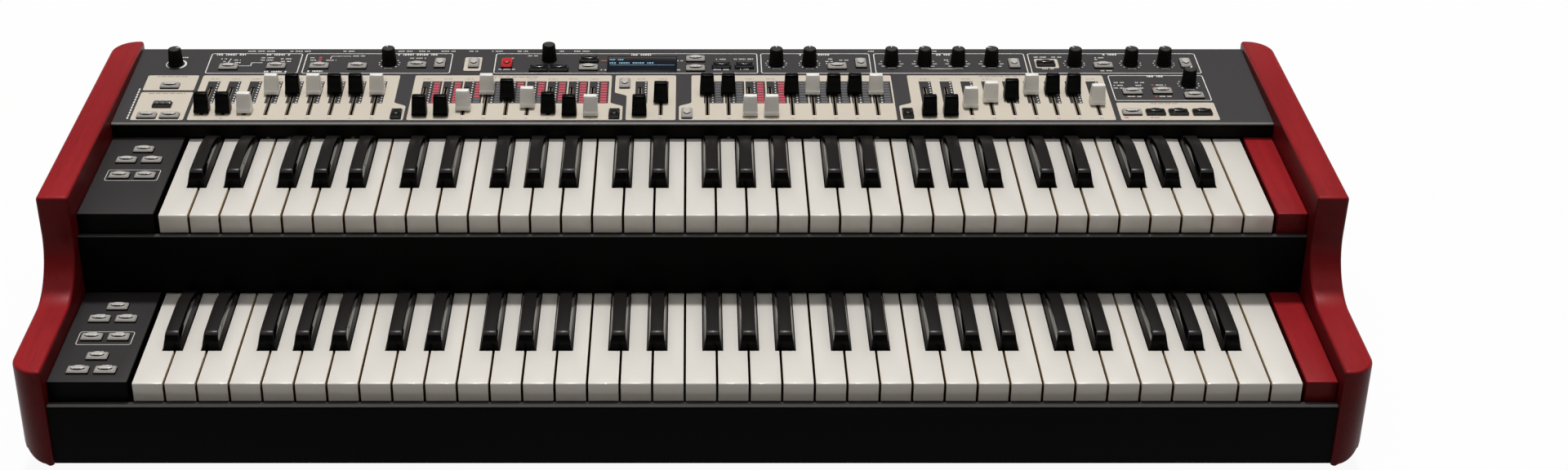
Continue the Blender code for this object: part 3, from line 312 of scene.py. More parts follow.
@dataclass(frozen=True)
class Finish:
    """One finish of the organ: its colour levels, gloss and fine texture."""

    name: str
    colour: Point3
    roughness: float
    texture: Texture = Texture.MOULDED
    darker: float = 0.92
    gloss_change: float = 0.06
    metallic: float = 0.0
    specular: float = 0.5
    coat: float = 0.0
    coat_roughness: float = 0.05
    index: float = 1.5
    # share of the colour that upright faces keep: below 1 this is painted shade on upright faces
    upright: float = 1.0
    glow: float = 0.0

    def material(self) -> bpy.types.Material:
        """Returns the finish as a material, building it when it is first asked for.

        Returns:
            The node material.
        """
        if self.name in bpy.data.materials:
            return bpy.data.materials[self.name]
        material = bpy.data.materials.new(self.name)
        material.use_nodes = True
        material.diffuse_color = shade(*self.colour)
        build = NodeBuilder(material.node_tree)
        shader = material.node_tree.nodes["Principled BSDF"]
        vector = build.add("ShaderNodeTexCoord").outputs["Object"]
        base = shade(*self.colour)
        tone = build.group(
            soft_variation(),
            Vector=vector,
            Colour=base,
            Darker_Colour=dimmed(base, self.darker),
            Scale=TONE_SCALE,
            Roughness=self.roughness,
            Gloss_Change=self.gloss_change,
        )
        colour = tone["Colour"]
        # painted shade: upright faces darkened
        if self.upright < 1.0:
            colour = build.group(painted_upright_shade(), Colour=colour, Upright_Share=self.upright)["Colour"]
        if self.texture is not Texture.PLAIN:
            scale, stretch, depth = self.texture.value
            surface = {"Vector": vector, "Stretch": stretch, "Scale": scale}
            if self.texture is Texture.WOOD:
                pores = dimmed(base, PORE_SHARE)
                grain = build.group(wood_grain(), Colour=colour, Pore_Colour=pores, **surface)
                colour = grain["Colour"]
            else:
                grain = build.group(fine_texture(), **surface)
            bump = build.add("ShaderNodeBump", Height=grain["Height"], Distance=depth, Strength=1.0)
            build.feed(shader.inputs["Normal"], bump.outputs["Normal"])
        sockets = {
            "Base Color": colour,
            "Roughness": tone["Roughness"] if self.gloss_change else self.roughness,
            "Metallic": self.metallic,
            "Specular IOR Level": self.specular,
            "IOR": self.index,
            "Coat Weight": self.coat,
            "Coat Roughness": self.coat_roughness,
        }
        if self.glow:
            sockets |= {"Emission Color": colour, "Emission Strength": self.glow}
        for name, value in sockets.items():
            build.feed(shader.inputs[name], value)
        return material


@dataclass(frozen=True)
class Finishes:
    """Every finish on the organ."""

    # the lacquer's upright faces keep only 0.28 of its colour: painted shade
    lacquer: Finish = Finish(
        "red lacquered wood", (155, 33, 38), 0.38, Texture.WOOD, 0.86, 0.08, specular=0.1, upright=0.28
    )
    black_paint: Finish = Finish("black powder coat", (6, 6, 6), 0.6, Texture.POWDER, 0.85, specular=0.04)
    # upward faces of the folded sheets: a lighter copy of the black powder coat as painted top light
    sheet_painted_top_light: Finish = Finish(
        "black powder coat with painted top light", (56, 55, 54), 0.5, Texture.POWDER, 0.9, specular=0.2
    )
    panel_paint: Finish = Finish("dark panel paint", (58, 56, 57), 0.55, Texture.POWDER, 0.94, specular=0.2)
    cream_ink: Finish = Finish("cream print", (206, 196, 181), 0.6, Texture.SMOOTH, 0.97, specular=0.2)
    # the panel's fold takes a lighter copy of its paint as painted highlight, the faces below it a darker one
    # as painted shade
    panel_painted_fold_highlight: Finish = Finish("panel paint with painted highlight on the fold", (108, 106, 102), 0.4, Texture.POWDER, 0.94)
    panel_painted_shade: Finish = Finish(
        "panel paint in painted shade below the fold", (16, 14, 13), 0.6, Texture.POWDER, specular=0.04
    )
    slot_lip: Finish = Finish("slot brush", (146, 134, 118), 0.9, Texture.POWDER, 0.8, specular=0.05)
    dark_ink: Finish = Finish("dark print", (52, 50, 51), 0.55, Texture.SMOOTH, 0.95, specular=0.2)
    light_ink: Finish = Finish("light print", (226, 223, 217), 0.6, Texture.SMOOTH, 0.97, specular=0.2)
    grey_ink: Finish = Finish("grey print", (128, 116, 106), 0.6, Texture.SMOOTH, 0.95, specular=0.2)
    red_light: Finish = Finish("lit ladder", (196, 78, 92), 0.4, Texture.SMOOTH, 0.95)
    dull_light: Finish = Finish("unlit ladder", (98, 97, 98), 0.4, Texture.SMOOTH, 0.95)
    white_light: Finish = Finish("white light dot", (236, 238, 236), 0.4, Texture.SMOOTH, 0.97, glow=0.12)
    orange_light: Finish = Finish("orange mark", (214, 142, 92), 0.4, Texture.SMOOTH, 0.95)
    ivory: Finish = Finish(
        "ivory key plastic", (226, 221, 213), 0.3, Texture.PLAIN, 0.985, 0.0, coat=0.6, coat_roughness=0.1
    )
    # key sides: a warmer copy of the ivory as painted warm bounce light near the top, a dark copy as painted
    # shade lower down and beside the sharps
    ivory_painted_warm_light: Finish = Finish("ivory key sides", (226, 202, 164), 0.4, Texture.PLAIN, 0.95)
    ivory_painted_shade: Finish = Finish(
        "ivory key sides in painted shade in the gaps", (96, 70, 42), 0.6, Texture.PLAIN, 0.9, specular=0.1
    )
    ebony: Finish = Finish("ebony key plastic", (29, 26, 25), 0.32, Texture.PLAIN, 0.95, 0.0, specular=0.22)
    ebony_side: Finish = Finish(
        "polished ebony key sides", (9, 7, 7), 0.05, Texture.PLAIN, 0.9, 0.0, index=3.8
    )
    # a darker, duller copy of the ebony for the fronts and low sides: painted shade
    ebony_painted_shade: Finish = Finish("ebony key fronts and low sides in painted shade", (7, 6, 6), 0.3, Texture.PLAIN, 0.9, 0.0, specular=0.06)
    block: Finish = Finish("block plastic", (50, 48, 48), 0.5, Texture.MOULDED, 0.94, specular=0.15)
    # a near-black copy of the block plastic for its sides: painted shade
    block_painted_side_shade: Finish = Finish("block plastic in painted side shade", (7, 7, 7), 0.5, Texture.MOULDED, 0.9, specular=0.04)
    black_cap: Finish = Finish("black drawbar plastic", (4, 4, 4), 0.3, Texture.SMOOTH, 0.9, specular=0.06)
    white_cap: Finish = Finish("white drawbar plastic", (236, 234, 228), 0.3, Texture.SMOOTH, 0.97)
    stem: Finish = Finish("black stem plastic", (12, 12, 12), 0.5, Texture.MOULDED, 0.9)
    knob_side: Finish = Finish("black knob rubber", (6, 6, 6), 0.5, Texture.MOULDED, 0.9, specular=0.12)
    knob_top: Finish = Finish("grey knob top", (60, 58, 56), 0.42, Texture.MOULDED, 0.94, specular=0.2)
    button: Finish = Finish("grey button plastic", (160, 156, 151), 0.4, Texture.MOULDED, 0.96, specular=0.4)
    # the keypad webs' colour, and on grey buttons painted shade on the base walls and the pad's front
    button_base_and_painted_shade: Finish = Finish("dark button base and painted shade", (54, 46, 42), 0.5, Texture.MOULDED, 0.94, specular=0.1)
    button_pad: Finish = Finish("light button pad", (190, 186, 181), 0.32, Texture.SMOOTH, 0.97)
    black_button: Finish = Finish("black button plastic", (14, 14, 14), 0.25, Texture.SMOOTH, 0.9)
    red_button: Finish = Finish("red button plastic", (196, 22, 30), 0.35, Texture.SMOOTH, 0.9)
    smoked: Finish = Finish("smoked button window", (92, 94, 94), 0.15, Texture.SMOOTH, 0.9, coat=0.5)
    window: Finish = Finish("display window", (24, 28, 36), 0.14, Texture.SMOOTH, 0.85, 0.03, specular=0.2)
    glyph: Finish = Finish("display marks", (136, 176, 202), 0.4, Texture.SMOOTH, 0.95)
    plastic: Finish = Finish("black socket plastic", (16, 16, 16), 0.45, Texture.MOULDED, 0.9)
    steel: Finish = Finish(
        "zinc plated steel", (190, 190, 186), 0.34, Texture.BRUSHED, 0.9, 0.15, metallic=1.0
    )
    aluminium: Finish = Finish(
        "plain aluminium", (196, 196, 194), 0.42, Texture.BRUSHED, 0.9, 0.12, metallic=1.0
    )
    brass: Finish = Finish("gold contact", (212, 170, 96), 0.3, Texture.SMOOTH, 0.9, metallic=1.0)
    board: Finish = Finish("green circuit board", (22, 84, 48), 0.4, Texture.SMOOTH, 0.85)
    rubber: Finish = Finish("black rubber", (22, 22, 22), 0.8, Texture.MOULDED, 0.85, specular=0.2)


F = Finishes()


class Solid:
    """A closed shape while it is worked, held in a bmesh."""

    def __init__(self, bm: bmesh.types.BMesh) -> None:
        """Holds the bmesh."""
        self.bm = bm

    @classmethod
    def block(cls, low: Sequence[float], high: Sequence[float]) -> "Solid":
        """Starts from a block between two corners.

        Args:
            low: The lowest corner.
            high: The highest corner.

        Returns:
            The block.
        """
        bm = bmesh.new()
        size = Vector(high) - Vector(low)
        centre = (Vector(high) + Vector(low)) / 2
        bmesh.ops.create_cube(bm, size=1.0, matrix=Matrix.Translation(centre) @ Matrix.Diagonal((*size, 1.0)))
        return cls(bm)

    @classmethod
    def slab(cls, outline: Iterable[Point2], low: float, high: float, axes: Matrix | None = None) -> "Solid":
        """Starts from a flat outline and gives it thickness.

        Args:
            outline: The outline's corners in order.
            low: Where the thickness starts.
            high: Where the thickness ends.
            axes: How the slab is stood up afterwards.

        Returns:
            The slab.
        """
        bm = bmesh.new()
        base = bm.faces.new([bm.verts.new((x, y, low)) for x, y in outline])
        grown = bmesh.ops.extrude_face_region(bm, geom=[base])
        far = [item for item in grown["geom"] if isinstance(item, bmesh.types.BMVert)]
        bmesh.ops.translate(bm, verts=far, vec=(0, 0, high - low))
        bmesh.ops.recalc_face_normals(bm, faces=bm.faces)
        solid = cls(bm)
        return solid.placed(axes) if axes is not None else solid

    @classmethod
    def turned(cls, profile: Iterable[Point2], steps: int = 32) -> "Solid":
        """Turns a profile of radius and height about Z.

        Args:
            profile: Points from the top of the axis to its foot.
            steps: How many steps the full turn has.

        Returns:
            The turned shape.
        """
        bm = bmesh.new()
        verts = [bm.verts.new((radius, 0, height)) for radius, height in profile]
        edges = [bm.edges.new(pair) for pair in zip(verts, verts[1:])]
        bmesh.ops.spin(
            bm,
            geom=[*verts, *edges],
            cent=(0, 0, 0),
            axis=(0, 0, 1),
            angle=2 * math.pi,
            steps=steps,
            use_merge=True,
        )
        bmesh.ops.remove_doubles(bm, verts=bm.verts, dist=1e-7)
        bmesh.ops.recalc_face_normals(bm, faces=bm.faces)
        return cls(bm)

    @classmethod
    def copy_of(cls, node: bpy.types.Object) -> "Solid":
        """Starts from a merged copy of a node of the frame.

        Args:
            node: The node's object, which stays as it is.

        Returns:
            The copy, with its flat faces whole again.
        """
        bm = bmesh.new()
        bm.from_mesh(node.data)
        bmesh.ops.remove_doubles(bm, verts=bm.verts, dist=1e-6)
        bmesh.ops.dissolve_limit(bm, angle_limit=math.radians(0.5), verts=bm.verts, edges=bm.edges)
        return cls(bm)

    def placed(self, matrix: Matrix) -> "Solid":
        """Moves or turns the shape, and returns it."""
        bmesh.ops.transform(self.bm, matrix=matrix, verts=self.bm.verts)
        return self

    def copy(self) -> "Solid":
        """Returns a second shape like this one."""
        return Solid(self.bm.copy())

    def eased(
        self, width: float, segments: int = 2, test: EdgeTest | None = None, angle: float = 30.0
    ) -> "Solid":
        """Rounds the edges that a test picks.

        Args:
            width: How wide the rounding is.
            segments: Its steps.
            test: Which edges are rounded, or every sharp one.
            angle: The least angle in degrees of an edge that counts as sharp.

        Returns:
            The same shape.
        """
        least = math.radians(angle)
        picked = [
            edge
            for edge in self.bm.edges
            if edge.is_manifold and edge.calc_face_angle() > least and (test is None or test(edge))
        ]
        bmesh.ops.bevel(
            self.bm,
            geom=picked,
            offset=width,
            segments=segments,
            profile=0.5,
            affect="EDGES",
            material=-1,
            clamp_overlap=True,
        )
        return self

    def split(self, place: Sequence[float], normal: Sequence[float]) -> None:
        """Adds edges where a plane crosses the shape.

        Args:
            place: A point of the plane.
            normal: The plane's normal.
        """
        everything = [*self.bm.verts, *self.bm.edges, *self.bm.faces]
        bmesh.ops.bisect_plane(self.bm, geom=everything, plane_co=place, plane_no=normal)

    def hollowed_frame(self, line: float) -> "Solid":
        """Opens a flat slab in Z so that only a frame of one line width is left.

        Args:
            line: The width of the line.

        Returns:
            The same shape.
        """
        flat = sorted(self.bm.faces, key=lambda face: face.calc_center_median().z)
        ends = [flat[0], flat[-1]]
        for face in ends:
            bmesh.ops.inset_region(self.bm, faces=[face], thickness=line, depth=0.0, use_even_offset=True)
        rims = [edge for face in ends for edge in face.edges]
        bmesh.ops.delete(self.bm, geom=ends, context="FACES_ONLY")
        bmesh.ops.bridge_loops(self.bm, edges=rims)
        bmesh.ops.recalc_face_normals(self.bm, faces=self.bm.faces)
        return self

    def without(self, *cutters: "Solid") -> "Solid":
        """Cuts other shapes out of this one.

        Args:
            cutters: The shapes to cut with, which don't touch each other.

        Returns:
            The same shape.
        """
        target = loose_object(self.bm)
        tools = [loose_object(cutter.bm) for cutter in cutters]
        for tool in tools:
            modifier = target.modifiers.new("cut", "BOOLEAN")
            modifier.operation = "DIFFERENCE"
            modifier.solver = "EXACT"
            modifier.object = tool
        bpy.context.view_layer.update()
        mesh = bpy.data.meshes.new_from_object(target.evaluated_get(bpy.context.evaluated_depsgraph_get()))
        self.bm.clear()
        self.bm.from_mesh(mesh)
        bpy.data.meshes.remove(mesh)
        for obj in [target, *tools]:
            held = obj.data
            bpy.data.objects.remove(obj, do_unlink=True)
            bpy.data.meshes.remove(held)
        return self

    @classmethod
    def gathered(cls, solids: Iterable["Solid"]) -> "Solid":
        """Holds several shapes that don't touch as one.

        Args:
            solids: The shapes.

        Returns:
            One shape of them all.
        """
        bm = bmesh.new()
        for solid in solids:
            mesh = bpy.data.meshes.new("shape")
            solid.bm.to_mesh(mesh)
            bm.from_mesh(mesh)
            bpy.data.meshes.remove(mesh)
        return cls(bm)


def loose_object(bm: bmesh.types.BMesh) -> bpy.types.Object:
    """Puts a bmesh in an object that is only there while a shape is cut.

    Args:
        bm: The bmesh.

    Returns:
        The object.
    """
    mesh = bpy.data.meshes.new("loose")
    bm.to_mesh(mesh)
    obj = bpy.data.objects.new("loose", mesh)
    bpy.context.scene.collection.objects.link(obj)
    return obj


def faces_up(face: Face) -> bool:
    """Says whether a face looks upward."""
    return face.normal.z > 0.6


def upright(edge: Edge) -> bool:
    """Says whether an edge runs along Z."""
    first, second = (vert.co for vert in edge.verts)
    return abs(first.x - second.x) < 1e-6 and abs(first.y - second.y) < 1e-6


class Piece:
    """A finished piece of the organ: shapes in one or more finishes, gathered in one mesh in place."""

    def __init__(self, name: str, body: str = "chassis") -> None:
        """Starts an empty piece.

        Args:
            name: The piece's name.
            body: The body that it rides on.
        """
        self.name = name
        self.body = body
        self.bm = bmesh.new()
        self.finishes: list[Finish] = []

    def slot_of(self, finish: Finish) -> int:
        """Returns the number of a finish on this piece, which takes it up if it is new.

        Args:
            finish: The finish.

        Returns:
            Its number.
        """
        if finish not in self.finishes:
            self.finishes.append(finish)
        return self.finishes.index(finish)

    def add(
        self,
        solid: Solid,
        finish: Finish,
        place: Matrix | None = None,
        others: Sequence[tuple[Finish, FaceTest]] = (),
    ) -> None:
        """Adds a shape in one finish, with some of its faces in others.

        Args:
            solid: The shape, which is used up.
            finish: The finish of all of it.
            place: Where it goes.
            others: Further finishes, each with a test for the faces that take it.
        """
        main = self.slot_of(finish)
        for face in solid.bm.faces:
            face.material_index = main
            for other, test in others:
                if test(face):
                    face.material_index = self.slot_of(other)
        mesh = bpy.data.meshes.new("shape")
        solid.bm.to_mesh(mesh)
        solid.bm.free()
        if place is not None:
            mesh.transform(place)
        self.bm.from_mesh(mesh)
        bpy.data.meshes.remove(mesh)

    def block(self, low: Sequence[float], high: Sequence[float], finish: Finish, ease: float = 0.0) -> None:
        """Adds a block between two corners.

        Args:
            low: The lowest corner.
            high: The highest corner.
            finish: Its finish.
            ease: How wide its edges are chamfered, or 0 for sharp ones.
        """
        solid = Solid.block(low, high)
        self.add(solid.eased(ease, 1) if ease else solid, finish)

    def done(
        self, place: Matrix | None = None, replaces: Sequence[str] = (), slot: str = "", angle: float = 35.0
    ) -> None:
        """Makes the object, which rides on its body and stands for its nodes.

        Args:
            place: Where the whole piece goes.
            replaces: The nodes that it stands for.
            slot: The name of a material slot for its main finish; not used.
            angle: The angle in degrees past which an edge is shaded sharp.
        """
        mesh = bpy.data.meshes.new(self.name)
        self.bm.to_mesh(mesh)
        self.bm.free()
        if place is not None:
            mesh.transform(place)
        mesh.shade_smooth()
        mesh.set_sharp_from_angle(angle=math.radians(angle))
        for finish in self.finishes:
            mesh.materials.append(finish.material())
        obj = bpy.data.objects.new(self.name, mesh)
        bpy.context.scene.collection.objects.link(obj)
        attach(obj, self.body)
        if replaces:
            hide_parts(*replaces)
        log.info("%s: %d faces on %s", self.name, len(mesh.polygons), self.body)


@dataclass
class Cheek:
    """A lacquered wooden end cheek, swept down at its front."""

    name: str
    side: int
    thickness: float = 0.024
    foot: float = 0.008
    top: float = 0.1627
    step: float = 0.0886
    nose: float = -0.0776
    lean: float = 0.0015
    cove: float = 0.040
    cove_steps: int = 20
    corner: float = 0.021
    edge: float = 0.0026

    def outline(self) -> list[Point2]:
        """Returns the side view, from the front foot round.

        Returns:
            Its corners in Y and Z.
        """
        centre = (self.nose - self.cove, self.step + self.cove)
        sweep = [
            (centre[0] + self.cove * math.cos(angle), centre[1] - self.cove * math.sin(angle))
            for angle in (math.pi / 2 * share / self.cove_steps for share in range(self.cove_steps + 1))
        ]
        return [
            (FRONT, self.foot),
            (REAR, self.foot),
            (REAR, self.top),
            (self.nose - self.lean, self.top),
            *sweep,
            (FRONT, self.step),
        ]

    def build(self) -> None:
        """Shapes the cheek and lacquers it."""
        inner = self.side * RIGHT
        outer = self.side * (RIGHT + self.thickness)
        solid = Solid.slab(self.outline(), min(inner, outer), max(inner, outer), SIDE_VIEW)

        def outer_corner(edge: Edge) -> bool:
            """Says whether an edge is an outer corner at the front or the rear."""
            return all(
                abs(vert.co.x - outer) < GAP and min(abs(vert.co.y - FRONT), abs(vert.co.y - REAR)) < GAP
                for vert in edge.verts
            )

        def long_edge(edge: Edge) -> bool:
            """Says whether an edge reaches above the foot."""
            return max(vert.co.z for vert in edge.verts) > self.foot + GAP

        solid.eased(self.corner, 12, outer_corner)
        solid.eased(self.edge, 4, long_edge, 50.0)
        piece = Piece(f"{self.name}_lacquered")
        piece.add(solid, F.lacquer)
        piece.done(replaces=[self.name], slot="red_lacquer", angle=40)


@dataclass
class FoldedSheet:
    """A painted sheet across the organ, folded back at its top and, for the rail, at its foot."""

    name: str
    face: float
    low: float
    high: float
    flange: float
    foot: float = 0.0
    sheet: float = 0.0025
    fold: float = 0.0018
    steps: int = 5

    def outline(self) -> list[Point2]:
        """Returns the folded section.

        Returns:
            Its corners in Y and Z.
        """
        centre = (self.face + self.fold, self.high - self.fold)
        fold = [
            (centre[0] - self.fold * math.sin(angle), centre[1] + self.fold * math.cos(angle))
            for angle in (math.pi / 2 * share / self.steps for share in range(self.steps + 1))
        ]
        back = self.face + self.sheet
        under: list[Point2] = [(self.face, self.low), (back, self.low)]
        if self.foot:
            level = self.low + 0.002
            under += [
                (back, level),
                (self.face + self.foot, level),
                (self.face + self.foot, level + self.sheet),
                (back, level + self.sheet),
            ]
        top = [(back, self.high - self.sheet), (self.face + self.flange, self.high - self.sheet)]
        return [*under, *top, (self.face + self.flange, self.high), *fold]

    def build(self) -> None:
        """Folds the sheet and paints it."""
        piece = Piece(f"{self.name}_folded")
        solid = Solid.slab(self.outline(), LEFT + GAP, RIGHT - GAP, SIDE_VIEW)
        # upward faces take the lighter copy: painted top light
        piece.add(solid, F.black_paint, others=[(F.sheet_painted_top_light, faces_up)])
        piece.done(replaces=[self.name], slot="black_paint", angle=30)


@dataclass
class PushButton:
    """A push button: a chamfered base with an oval pad set towards its rear."""

    length: float = 0.0157
    width: float = 0.0090
    rise: float = 0.0024
    pad_rise: float = 0.0012
    depth: float = 0.0030
    corner: float = 0.0007
    chamfer: float = 0.0009
    tall: bool = False

    def half(self) -> Vector:
        """Returns half of the base's size across and along."""
        size = (self.width, self.length) if self.tall else (self.length, self.width)
        return Vector(size) / 2

    def base(self) -> Solid:
        """Shapes the base, centred on its place.

        Returns:
            The base.
        """
        half = self.half()
        solid = Solid.block((-half.x, -half.y, -self.depth), (half.x, half.y, self.rise))

        def rim(edge: Edge) -> bool:
            """Says whether an edge is at the top of the base."""
            return min(vert.co.z for vert in edge.verts) > self.rise - GAP

        solid.eased(self.corner, 1, upright)
        return solid.eased(self.chamfer, 1, rim)

    def pad(self) -> Solid:
        """Returns the oval pad, domed a little.

        Returns:
            The pad, in place on the base.
        """
        half = self.half()
        profile = [(0.0, 1.0), (0.55, 0.97), (0.82, 0.86), (0.95, 0.62), (1.0, 0.3), (1.0, -0.4), (0.0, -0.4)]
        solid = Solid.turned([(radius, height * self.pad_rise) for radius, height in profile], 24)
        shift = Matrix.Translation((0.0, 0.12 * half.y, self.rise))
        return solid.placed(shift @ Matrix.Diagonal((0.70 * half.x, 0.62 * half.y, 1.0, 1.0)))

    def add_to(self, piece: Piece, x: float, y: float, z: float, body: Finish, pad: Finish) -> None:
        """Adds the button to a keypad.

        Args:
            piece: The keypad.
            x: Its place across.
            y: Its place along.
            z: The height of the surface that it stands in.
            body: The finish of its base.
            pad: The finish of its oval pad.
        """
        place = Matrix.Translation((x, y, z))
        # walls of the base and the front of the pad take a darker finish as painted shade: the dark button
        # base on grey buttons, black button plastic on the others
        wall = F.button_base_and_painted_shade if body is F.button else F.black_button
        piece.add(self.base(), body, place, [(wall, lambda face: abs(face.normal.z) < 0.4)])
        shaded_crescent = (wall, lambda face: face.normal.y < -0.3 and face.normal.z < 0.8)
        piece.add(self.pad(), pad, place, [shaded_crescent])


@dataclass
class LeftBlock:
    """The moulded block left of a keyboard, with its push buttons and printed marks."""

    manual: str
    front: float
    key_top: float
    rows: tuple[tuple[float, int], ...]
    outlines: tuple[tuple[float, float, float, float], ...]
    left: float = LEFT + GAP
    right: float = KEYBOARD_LEFT - 0.0026
    wall: float = 0.0025
    web: float = 0.0012
    rounding: float = 0.0008
    column: float = LEFT + 0.0299
    column_step: float = 0.0100
    dot_across: float = 4.2
    dot_along: float = 6.2
    caption_along: float = 8.1

    def places(self) -> list[Point2]:
        """Returns the centres of the buttons, one or two to a row.

        Returns:
            Their places in X and Y.
        """
        found = []
        for distance, count in self.rows:
            offsets = (0.0,) if count == 1 else (-self.column_step, self.column_step)
            found += [(self.column + offset, self.front + distance) for offset in offsets]
        return found

    def build(self) -> None:
        """Moulds the block, prints it and sets its buttons in."""
        top = self.key_top + BLOCK_RISE
        low = (self.left, self.front, self.key_top - BLOCK_DROP)
        high = (self.right, self.front + KEY_LENGTH, top)
        solid = Solid.block(low, high)

        def outer(edge: Edge) -> bool:
            """Says whether an edge is round the top or at a corner."""
            return min(vert.co.z for vert in edge.verts) > top - GAP or upright(edge)

        solid.eased(self.rounding, 3, outer)
        inside = Solid.block(
            (low[0] + self.wall, low[1] + self.wall, low[2] - 0.002),
            (high[0] - self.wall, high[1] - self.wall, top - self.wall),
        )
        half = Vector((PushButton.length / 2 + GAP, PushButton.width / 2 + GAP))
        holes = (
            Solid.block((x - half.x, y - half.y, top - 2 * self.wall), (x + half.x, y + half.y, top + 0.002))
            for x, y in self.places()
        )
        solid.without(inside, Solid.gathered(holes))
        piece = Piece(f"{self.manual}_left_block_moulded")
        # the block's sides take painted shade
        piece.add(solid, F.block, others=[(F.block_painted_side_shade, lambda face: face.normal.z < 0.35)])
        piece.done(replaces=[f"{self.manual}_left_block"], slot="block_plastic")
        self.print_marks(top)
        self.build_buttons(top)

    def print_marks(self, top: float) -> None:
        """Prints outlines, dots and captions on the block.

        Args:
            top: The height of the block's top.
        """
        marks = Print(f"{self.manual}_block_print", F.light_ink, top)
        for left, front, right, rear in self.outlines:
            marks.frame(left, front, right, rear, 0.45, 2.2)
        for x, y in self.places():
            for side in (-1, 1):
                marks.dot(x / MM + side * self.dot_across, y / MM + self.dot_along, 0.42)
            marks.caption(x / MM, y / MM + self.caption_along, 7.0, 0.9)
        marks.done()

    def build_buttons(self, top: float) -> None:
        """Sets the buttons in the block.

        Args:
            top: The height of the block's top.
        """
        piece = Piece(f"{self.manual}_block_keypad", f"{self.manual}_block_buttons")
        button = PushButton()
        for x, y in self.places():
            button.add_to(piece, x, y, top, F.button, F.button_pad)
        across, along = zip(*self.places())
        half = button.width / 2
        under = top - self.wall - GAP
        low = (min(across) - half, min(along) - half, under - self.web)
        piece.block(low, (max(across) + half, max(along) + half, under), F.button_base_and_painted_shade, 0.0002)
        piece.done(replaces=[f"{self.manual}_block_buttons"], slot="button_plastic")


@dataclass
class Print:
    """Marks printed on a surface, each a thin raised shape of ink."""

    name: str
    ink: Finish
    surface: float = 0.0
    level: int = 0
    place: Matrix | None = None
    film: float = 0.00004
    piece: Piece = field(init=False)

    def __post_init__(self) -> None:
        """Starts the piece that holds the marks."""
        self.piece = Piece(self.name)

    def heights(self) -> tuple[float, float]:
        """Returns the lower and upper height of this layer of ink."""
        low = self.surface + 0.00001 + self.level * self.film
        return low, low + self.film

    def area(self, outline: Iterable[Point2], radius: float, cutters: Sequence[Solid] = ()) -> None:
        """Prints a filled outline with rounded corners.

        Args:
            outline: Its corners in millimetres.
            radius: The corners' radius in millimetres.
            cutters: Openings that it leaves free.
        """
        solid = Solid.slab([(x * MM, y * MM) for x, y in outline], *self.heights())
        solid.eased(radius * MM, 4, upright, 10.0)
        if cutters:
            solid.without(*cutters)
        self.piece.add(solid, self.ink)

    def block(self, left: float, front: float, right: float, rear: float) -> Solid:
        """Returns a block of ink between two sides, a front and a rear, in millimetres."""
        low, high = self.heights()
        return Solid.block((left * MM, front * MM, low), (right * MM, rear * MM, high))

    def bar(self, left: float, front: float, right: float, rear: float) -> None:
        """Prints a filled rectangle, in millimetres."""
        self.piece.add(self.block(left, front, right, rear), self.ink)

    def dash(self, x: float, y: float, width: float, height: float = 1.0) -> None:
        """Prints a filled rectangle centred on a place, in millimetres."""
        self.bar(x - width / 2, y - height / 2, x + width / 2, y + height / 2)

    def frame(self, left: float, front: float, right: float, rear: float, line: float, radius: float) -> None:
        """Prints the outline of a rectangle with rounded corners, in millimetres."""
        solid = self.block(left, front, right, rear).eased(radius * MM, 5, upright)
        self.piece.add(solid.hollowed_frame(line * MM), self.ink)

    def dot(self, x: float, y: float, radius: float) -> None:
        """Prints a dot, in millimetres.

        Args:
            x: The centre across.
            y: The centre along.
            radius: Its radius.
        """
        low, high = self.heights()
        size = radius * MM
        solid = Solid.turned([(0, high), (size, high), (size, low), (0, low)], 10)
        self.piece.add(solid, self.ink, Matrix.Translation((x * MM, y * MM, 0)))

    def wedge(self, x: float, y: float, radius: float, sweep: float, thin: float, thick: float) -> None:
        """Prints a ring that grows thicker clockwise and leaves its front open, in millimetres and degrees.

        Args:
            x: The centre across.
            y: The centre along.
            radius: The middle line's radius.
            sweep: How far the ring goes to each side of the rear.
            thin: Its thickness where it starts.
            thick: Its thickness where it ends.
        """
        steps = 40
        outer, inner = [], []
        for step in range(steps + 1):
            angle = math.radians(sweep * (2 * step / steps - 1))
            half = (thin + (thick - thin) * step / steps) / 2
            for edge, reach in ((outer, radius + half), (inner, radius - half)):
                edge.append((x + reach * math.sin(angle), y + reach * math.cos(angle)))
        outline = [(across * MM, along * MM) for across, along in [*outer, *reversed(inner)]]
        self.piece.add(Solid.slab(outline, *self.heights()), self.ink)

    def line(self, start: Point2, end: Point2, width: float) -> None:
        """Prints a straight line between two points, in millimetres.

        Args:
            start: Where it starts.
            end: Where it ends.
            width: How wide it is.
        """
        low, high = self.heights()
        run = Vector(end) - Vector(start)
        solid = Solid.block((0, -width * MM / 2, low), (run.length * MM, width * MM / 2, high))
        turn = Matrix.Rotation(math.atan2(run.y, run.x), 4, "Z")
        self.piece.add(solid, self.ink, Matrix.Translation((start[0] * MM, start[1] * MM, 0)) @ turn)

    def caption(self, x: float, y: float, width: float, height: float = 1.2) -> None:
        """Prints a caption as short plain strokes in words, centred on a place, in millimetres.

        Args:
            x: The centre across.
            y: The centre along.
            width: How wide the caption is.
            height: How tall its strokes are.
        """
        place = x - width / 2
        stroke, gap = 0.62 * height, 0.24 * height
        index = int(abs(x) * 3 + abs(y)) % 5
        while place + stroke <= x + width / 2 + 0.01:
            index += 1
            wide = stroke * (0.55 if index % 4 == 3 else 1.0)
            if index % 6:
                self.bar(place, y - height / 2, place + wide, y + height / 2)
            place += wide + gap

    def done(self) -> None:
        """Makes the printed piece."""
        self.piece.done(self.place, angle=20)


